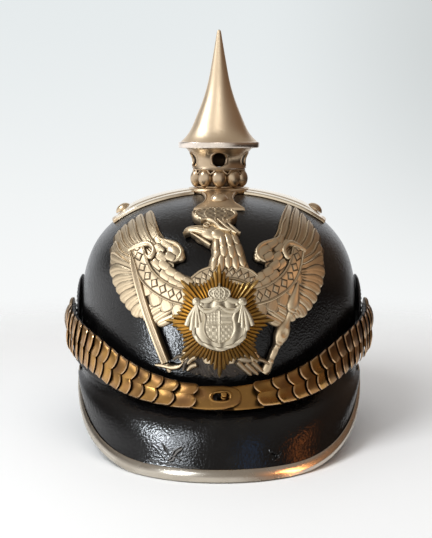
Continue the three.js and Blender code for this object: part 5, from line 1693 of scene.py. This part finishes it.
def make_rosette(name, way):
    """Boss with petals and a roped rim, over the strap's end."""
    outline = softened(ROSETTE_OUTLINE, 0.5, 6)
    # Painted shade in the groove inside the roped rim
    deep = 0.9 * bump(outline[:, 0], 11.1, 0.7) * (outline[:, 1] > 0.5)
    body = turned(outline, 192, deep)
    radius, turn = polar(body)
    petal = np.abs(np.cos(turn * ROSETTE.petals / 2)) ** 0.7
    dome = ease((radius - 3.4) / 1.2) * ease((10.6 - radius) / 1.4) * (body.points[:, 2] > 2)
    body.points[:, 2] -= 0.9 * (1 - petal) * dome
    # Painted shade between the petals
    body.recess = np.clip(body.recess + 0.9 * (1 - petal) ** 2 * dome, 0, 1)
    rope = ease((radius - 11.8) / 0.5) * (body.points[:, 2] > 1.0)
    body.points[:, 2] += 0.22 * np.sin(turn * 48) * rope
    out = SKULL.half_width + STRAP_ROWS[-1, STRAP_STAND] + LEATHER.thick + GAP
    body = stood(body, (way * out, 0, ROSETTE.z), (way, 0, 0))
    piece(f"strap_rosette_{name}", body, old_gilt, [f"rosette_{name}"], 40)


def make_side_fittings():
    """Cockades on both sides of the skull, and rosettes over the strap's ends."""
    for name, way in (("left", -1), ("right", 1)):
        make_cockade(name, way)
        make_rosette(name, way)


# Scene: floor, light and camera

IMAGE = Sizes(width=432, height=538)
CAMERA = Sizes(focal_px=1224, x=-2.1, y=-850, z=206, horizon_px=120, sensor=36)


FLOOR = Sizes(radius=2.0, sides=96, fade_from=0.26, fade_to=0.62, colour=(0.90, 0.91, 0.92, 1), roughness=0.7)


def make_floor():
    """Pale floor around the helmet that fades into the pale surroundings."""
    mesh = bpy.data.meshes.new("pale_floor")
    corners = [(FLOOR.radius * math.cos(a), FLOOR.radius * math.sin(a), 0) for a in full_turn(FLOOR.sides)]
    mesh.from_pydata(corners, [], [list(range(FLOOR.sides))])
    material, graph, shader = new_finish("pale_floor")
    shader.inputs["Base Color"].default_value = FLOOR.colour
    shader.inputs["Roughness"].default_value = FLOOR.roughness
    place = graph.add("ShaderNodeTexCoord").outputs["Object"]
    length = graph.add("ShaderNodeVectorMath", {0: place}, operation="LENGTH").outputs["Value"]
    clear = graph.add("ShaderNodeBsdfTransparent").outputs[0]
    fade = graph.ramp(length, FLOOR.fade_from, FLOOR.fade_to)
    mixed = graph.add("ShaderNodeMixShader", {0: fade, 1: shader.outputs[0], 2: clear})
    output = next(n for n in material.node_tree.nodes if n.type == "OUTPUT_MATERIAL")
    graph.feed(output.inputs["Surface"], mixed.outputs[0])
    mesh.materials.append(material)
    floor = bpy.data.objects.new("pale_floor", mesh)
    bpy.context.scene.collection.objects.link(floor)


GLOW = Sizes(way=(-0.375, -0.927, 0.0), edge=0.24, core=0.97)
STUDIO = Sizes(
    low=(0.050, 0.038, 0.030, 1), overhead=(0.36, 0.33, 0.30, 1), right=(0.19, 0.128, 0.09, 1),
    left=(1.2, 1.2, 1.21, 1), glow=(0.95, 0.93, 0.90, 1), back=(1.0, 1.02, 1.05, 1),
    paper_low=(0.93, 0.945, 0.945, 1), paper_high=(0.79, 0.83, 0.84, 1), paper_corner=(0.62, 0.65, 0.65, 1),
)


def make_surroundings():
    """Pale paper for the camera, painted darker toward the top and the right corner as shade; in reflections
    white behind and left, dim overhead, dark right.
    """
    world = bpy.data.worlds.new("pale_studio")
    bpy.context.scene.world = world
    world.use_nodes = True
    graph = Graph(world.node_tree)
    way = graph.add("ShaderNodeTexCoord").outputs["Generated"]
    axes = graph.add("ShaderNodeSeparateXYZ", {0: way}).outputs
    toward = graph.add("ShaderNodeVectorMath", {0: way, 1: GLOW.way},
                       operation="DOT_PRODUCT").outputs["Value"]
    glow = graph.math("MULTIPLY", graph.ramp(toward, GLOW.edge, GLOW.core),
                      graph.ramp(axes["Z"], 0.97, 0.50))
    low = graph.ramp(axes["Z"], 0.82, 0.52)
    lean = graph.math("ADD", axes["Z"], graph.math("MULTIPLY", axes["Y"], 0.6))
    left = graph.math("MULTIPLY", graph.ramp(axes["X"], -0.30, -0.80), graph.ramp(lean, 0.66, 0.30))
    right = graph.math("MULTIPLY", graph.ramp(axes["X"], 0.20, 0.60), graph.ramp(axes["Z"], 0.85, 0.45))
    right = graph.math("MULTIPLY", right, graph.ramp(axes["Z"], -0.05, 0.22))
    back = graph.math("MULTIPLY", graph.ramp(axes["Y"], 0.58, 0.90), low)
    back = graph.math("MULTIPLY", back, graph.ramp(axes["X"], 0.60, 0.30))
    colour = graph.mix(graph.ramp(axes["Z"], 0.30, 0.80), STUDIO.low, STUDIO.overhead)
    colour = graph.mix(right, colour, STUDIO.right)
    colour = graph.mix(left, colour, STUDIO.left)
    colour = graph.mix(glow, colour, STUDIO.glow)
    colour = graph.mix(back, colour, STUDIO.back)
    # The paper seen by the camera is painted darker toward the top and the right corner as shade
    high = graph.ramp(axes["Z"], -0.17, 0.12)
    paper = graph.mix(high, STUDIO.paper_low, STUDIO.paper_high)
    corner = graph.math("MULTIPLY", graph.ramp(axes["X"], 0.02, 0.22), graph.ramp(axes["Z"], -0.20, 0.08))
    paper = graph.mix(corner, paper, STUDIO.paper_corner)
    seen = graph.add("ShaderNodeLightPath").outputs["Is Camera Ray"]
    shade = graph.mix(seen, colour, paper)
    background = next(n for n in world.node_tree.nodes if n.type == "BACKGROUND")
    graph.tree.links.new(shade, background.inputs["Color"])
    background.inputs["Strength"].default_value = 1.0


def soft_box(name, place, aim, size, power, colour, gloss=True, only=(), apart=()):
    """Rectangular light seen in reflections, or else as soft light; it may be kept to some pieces."""
    light = bpy.data.lights.new(name, "AREA")
    light.shape = "RECTANGLE"
    light.size, light.size_y = size
    light.energy = power
    light.color = colour
    lamp = bpy.data.objects.new(name, light)
    lamp.location = place
    lamp.rotation_euler = (Vector(aim) - Vector(place)).to_track_quat("-Z", "Y").to_euler()
    lamp.visible_glossy = gloss
    lamp.visible_diffuse = not gloss
    bpy.context.scene.collection.objects.link(lamp)
    if only or apart:
        lit = bpy.data.collections.new(name)
        lamp.light_linking.receiver_collection = lit
        for made in (*only, *apart):
            lit.objects.link(bpy.data.objects[made])
        for chosen in lit.collection_objects:
            chosen.light_linking.link_state = "INCLUDE" if only else "EXCLUDE"


LAMP = Sizes(cool=(0.88, 0.94, 1.0), plain=(0.96, 0.985, 1.0), sky=(0.10, 0.40, 1.0),
             doorway=(1.0, 0.42, 0.16), shelf=(1.0, 0.28, 0.06), wall=(1.0, 0.66, 0.42))


def make_light():
    """Windows and lamps: place and aim in metres, size, watts, colour and the pieces they light."""
    cool, plain = LAMP.cool, LAMP.plain
    peak, edge = ["front_peak"], ["front_peak", "peak_trim"]
    plate = ["eagle_relief", "rayed_star", "mantled_shield"]
    soft_box("side_window", (-0.704, -0.044, 0.847), (0, -0.04, 0.06), (0.34, 0.32), 3.6, cool, apart=edge)
    soft_box("peak_window", (-0.688, -0.283, 0.763), (-0.036, -0.132, 0.02), (0.18, 0.20), 7.0, cool,
             only=peak)
    soft_box("peak_sheen", (-0.43, -0.41, 0.775), (-0.022, -0.14, 0.02), (0.14, 0.36), 2.8, cool, only=edge)
    soft_box("peak_sky", (0.276, -0.453, 0.585), (0.018, -0.145, 0.012), (0.09, 0.09), 0.09, LAMP.sky,
             only=peak)
    soft_box("warm_shelf", (0.655, -0.184, 0.357), (0.048, -0.131, 0.012), (0.10, 0.10), 0.22, LAMP.shelf,
             only=peak)
    soft_box("room_lamp", (-0.75, -0.85, 1.10), (0, 0, 0.05), (0.7, 0.7), 16, plain, gloss=False)
    soft_box("ceiling", (0.0, 0.0, 1.40), (0, 0, 0.1), (1.8, 1.8), 6, plain, gloss=False)
    soft_box("low_gleam", (-0.23, -0.27, 0.012), (-0.035, -0.105, 0.06), (0.10, 0.10), 1.5, cool,
             only=["leather_skull"])
    soft_box("plate_gleam", (-0.36, -0.40, 0.12), (-0.035, -0.105, 0.08), (0.42, 0.36), 1.25, cool,
             only=plate)
    soft_box("warm_doorway", (0.64, -0.30, 0.26), (0.048, -0.14, 0.005), (0.12, 0.48), 3.4, LAMP.doorway,
             only=["peak_trim"])
    soft_box("warm_wall", (0.70, -0.30, 0.30), (0.03, -0.09, 0.09), (0.5, 0.5), 0.6, LAMP.wall,
             only=["eagle_relief"])
    soft_box("high_window", (-0.10, -1.00, 1.25), (0, 0, 0.22), (0.5, 0.5), 2.2, plain, only=["tall_spike"])


def make_camera():
    """Level camera in front of the helmet, with the picture shifted on the lens."""
    lens = bpy.data.cameras.new("front_view")
    lens.sensor_fit = "VERTICAL"
    lens.sensor_height = CAMERA.sensor
    lens.lens = CAMERA.sensor * CAMERA.focal_px / IMAGE.height
    lens.clip_start = 0.01
    camera = bpy.data.objects.new("front_view", lens)
    lens.shift_y = (CAMERA.horizon_px - IMAGE.height / 2) / IMAGE.height
    camera.location = (CAMERA.x * MM, CAMERA.y * MM, CAMERA.z * MM)
    camera.rotation_euler = (math.pi / 2, 0, 0)
    bpy.context.scene.collection.objects.link(camera)
    bpy.context.scene.camera = camera


make_camera()
make_surroundings()
make_floor()
make_skull()
make_peaks()
make_trim()
make_spine()
make_cross()
make_studs()
make_ring()
make_neck()
make_spike()
make_eagle()
make_star()
make_arms()
make_strap_leather()
make_scales()
make_tongue()
make_end_plate()
make_tongue_stud()
make_side_fittings()
make_light()

bpy.context.scene.view_settings.view_transform = "Standard"
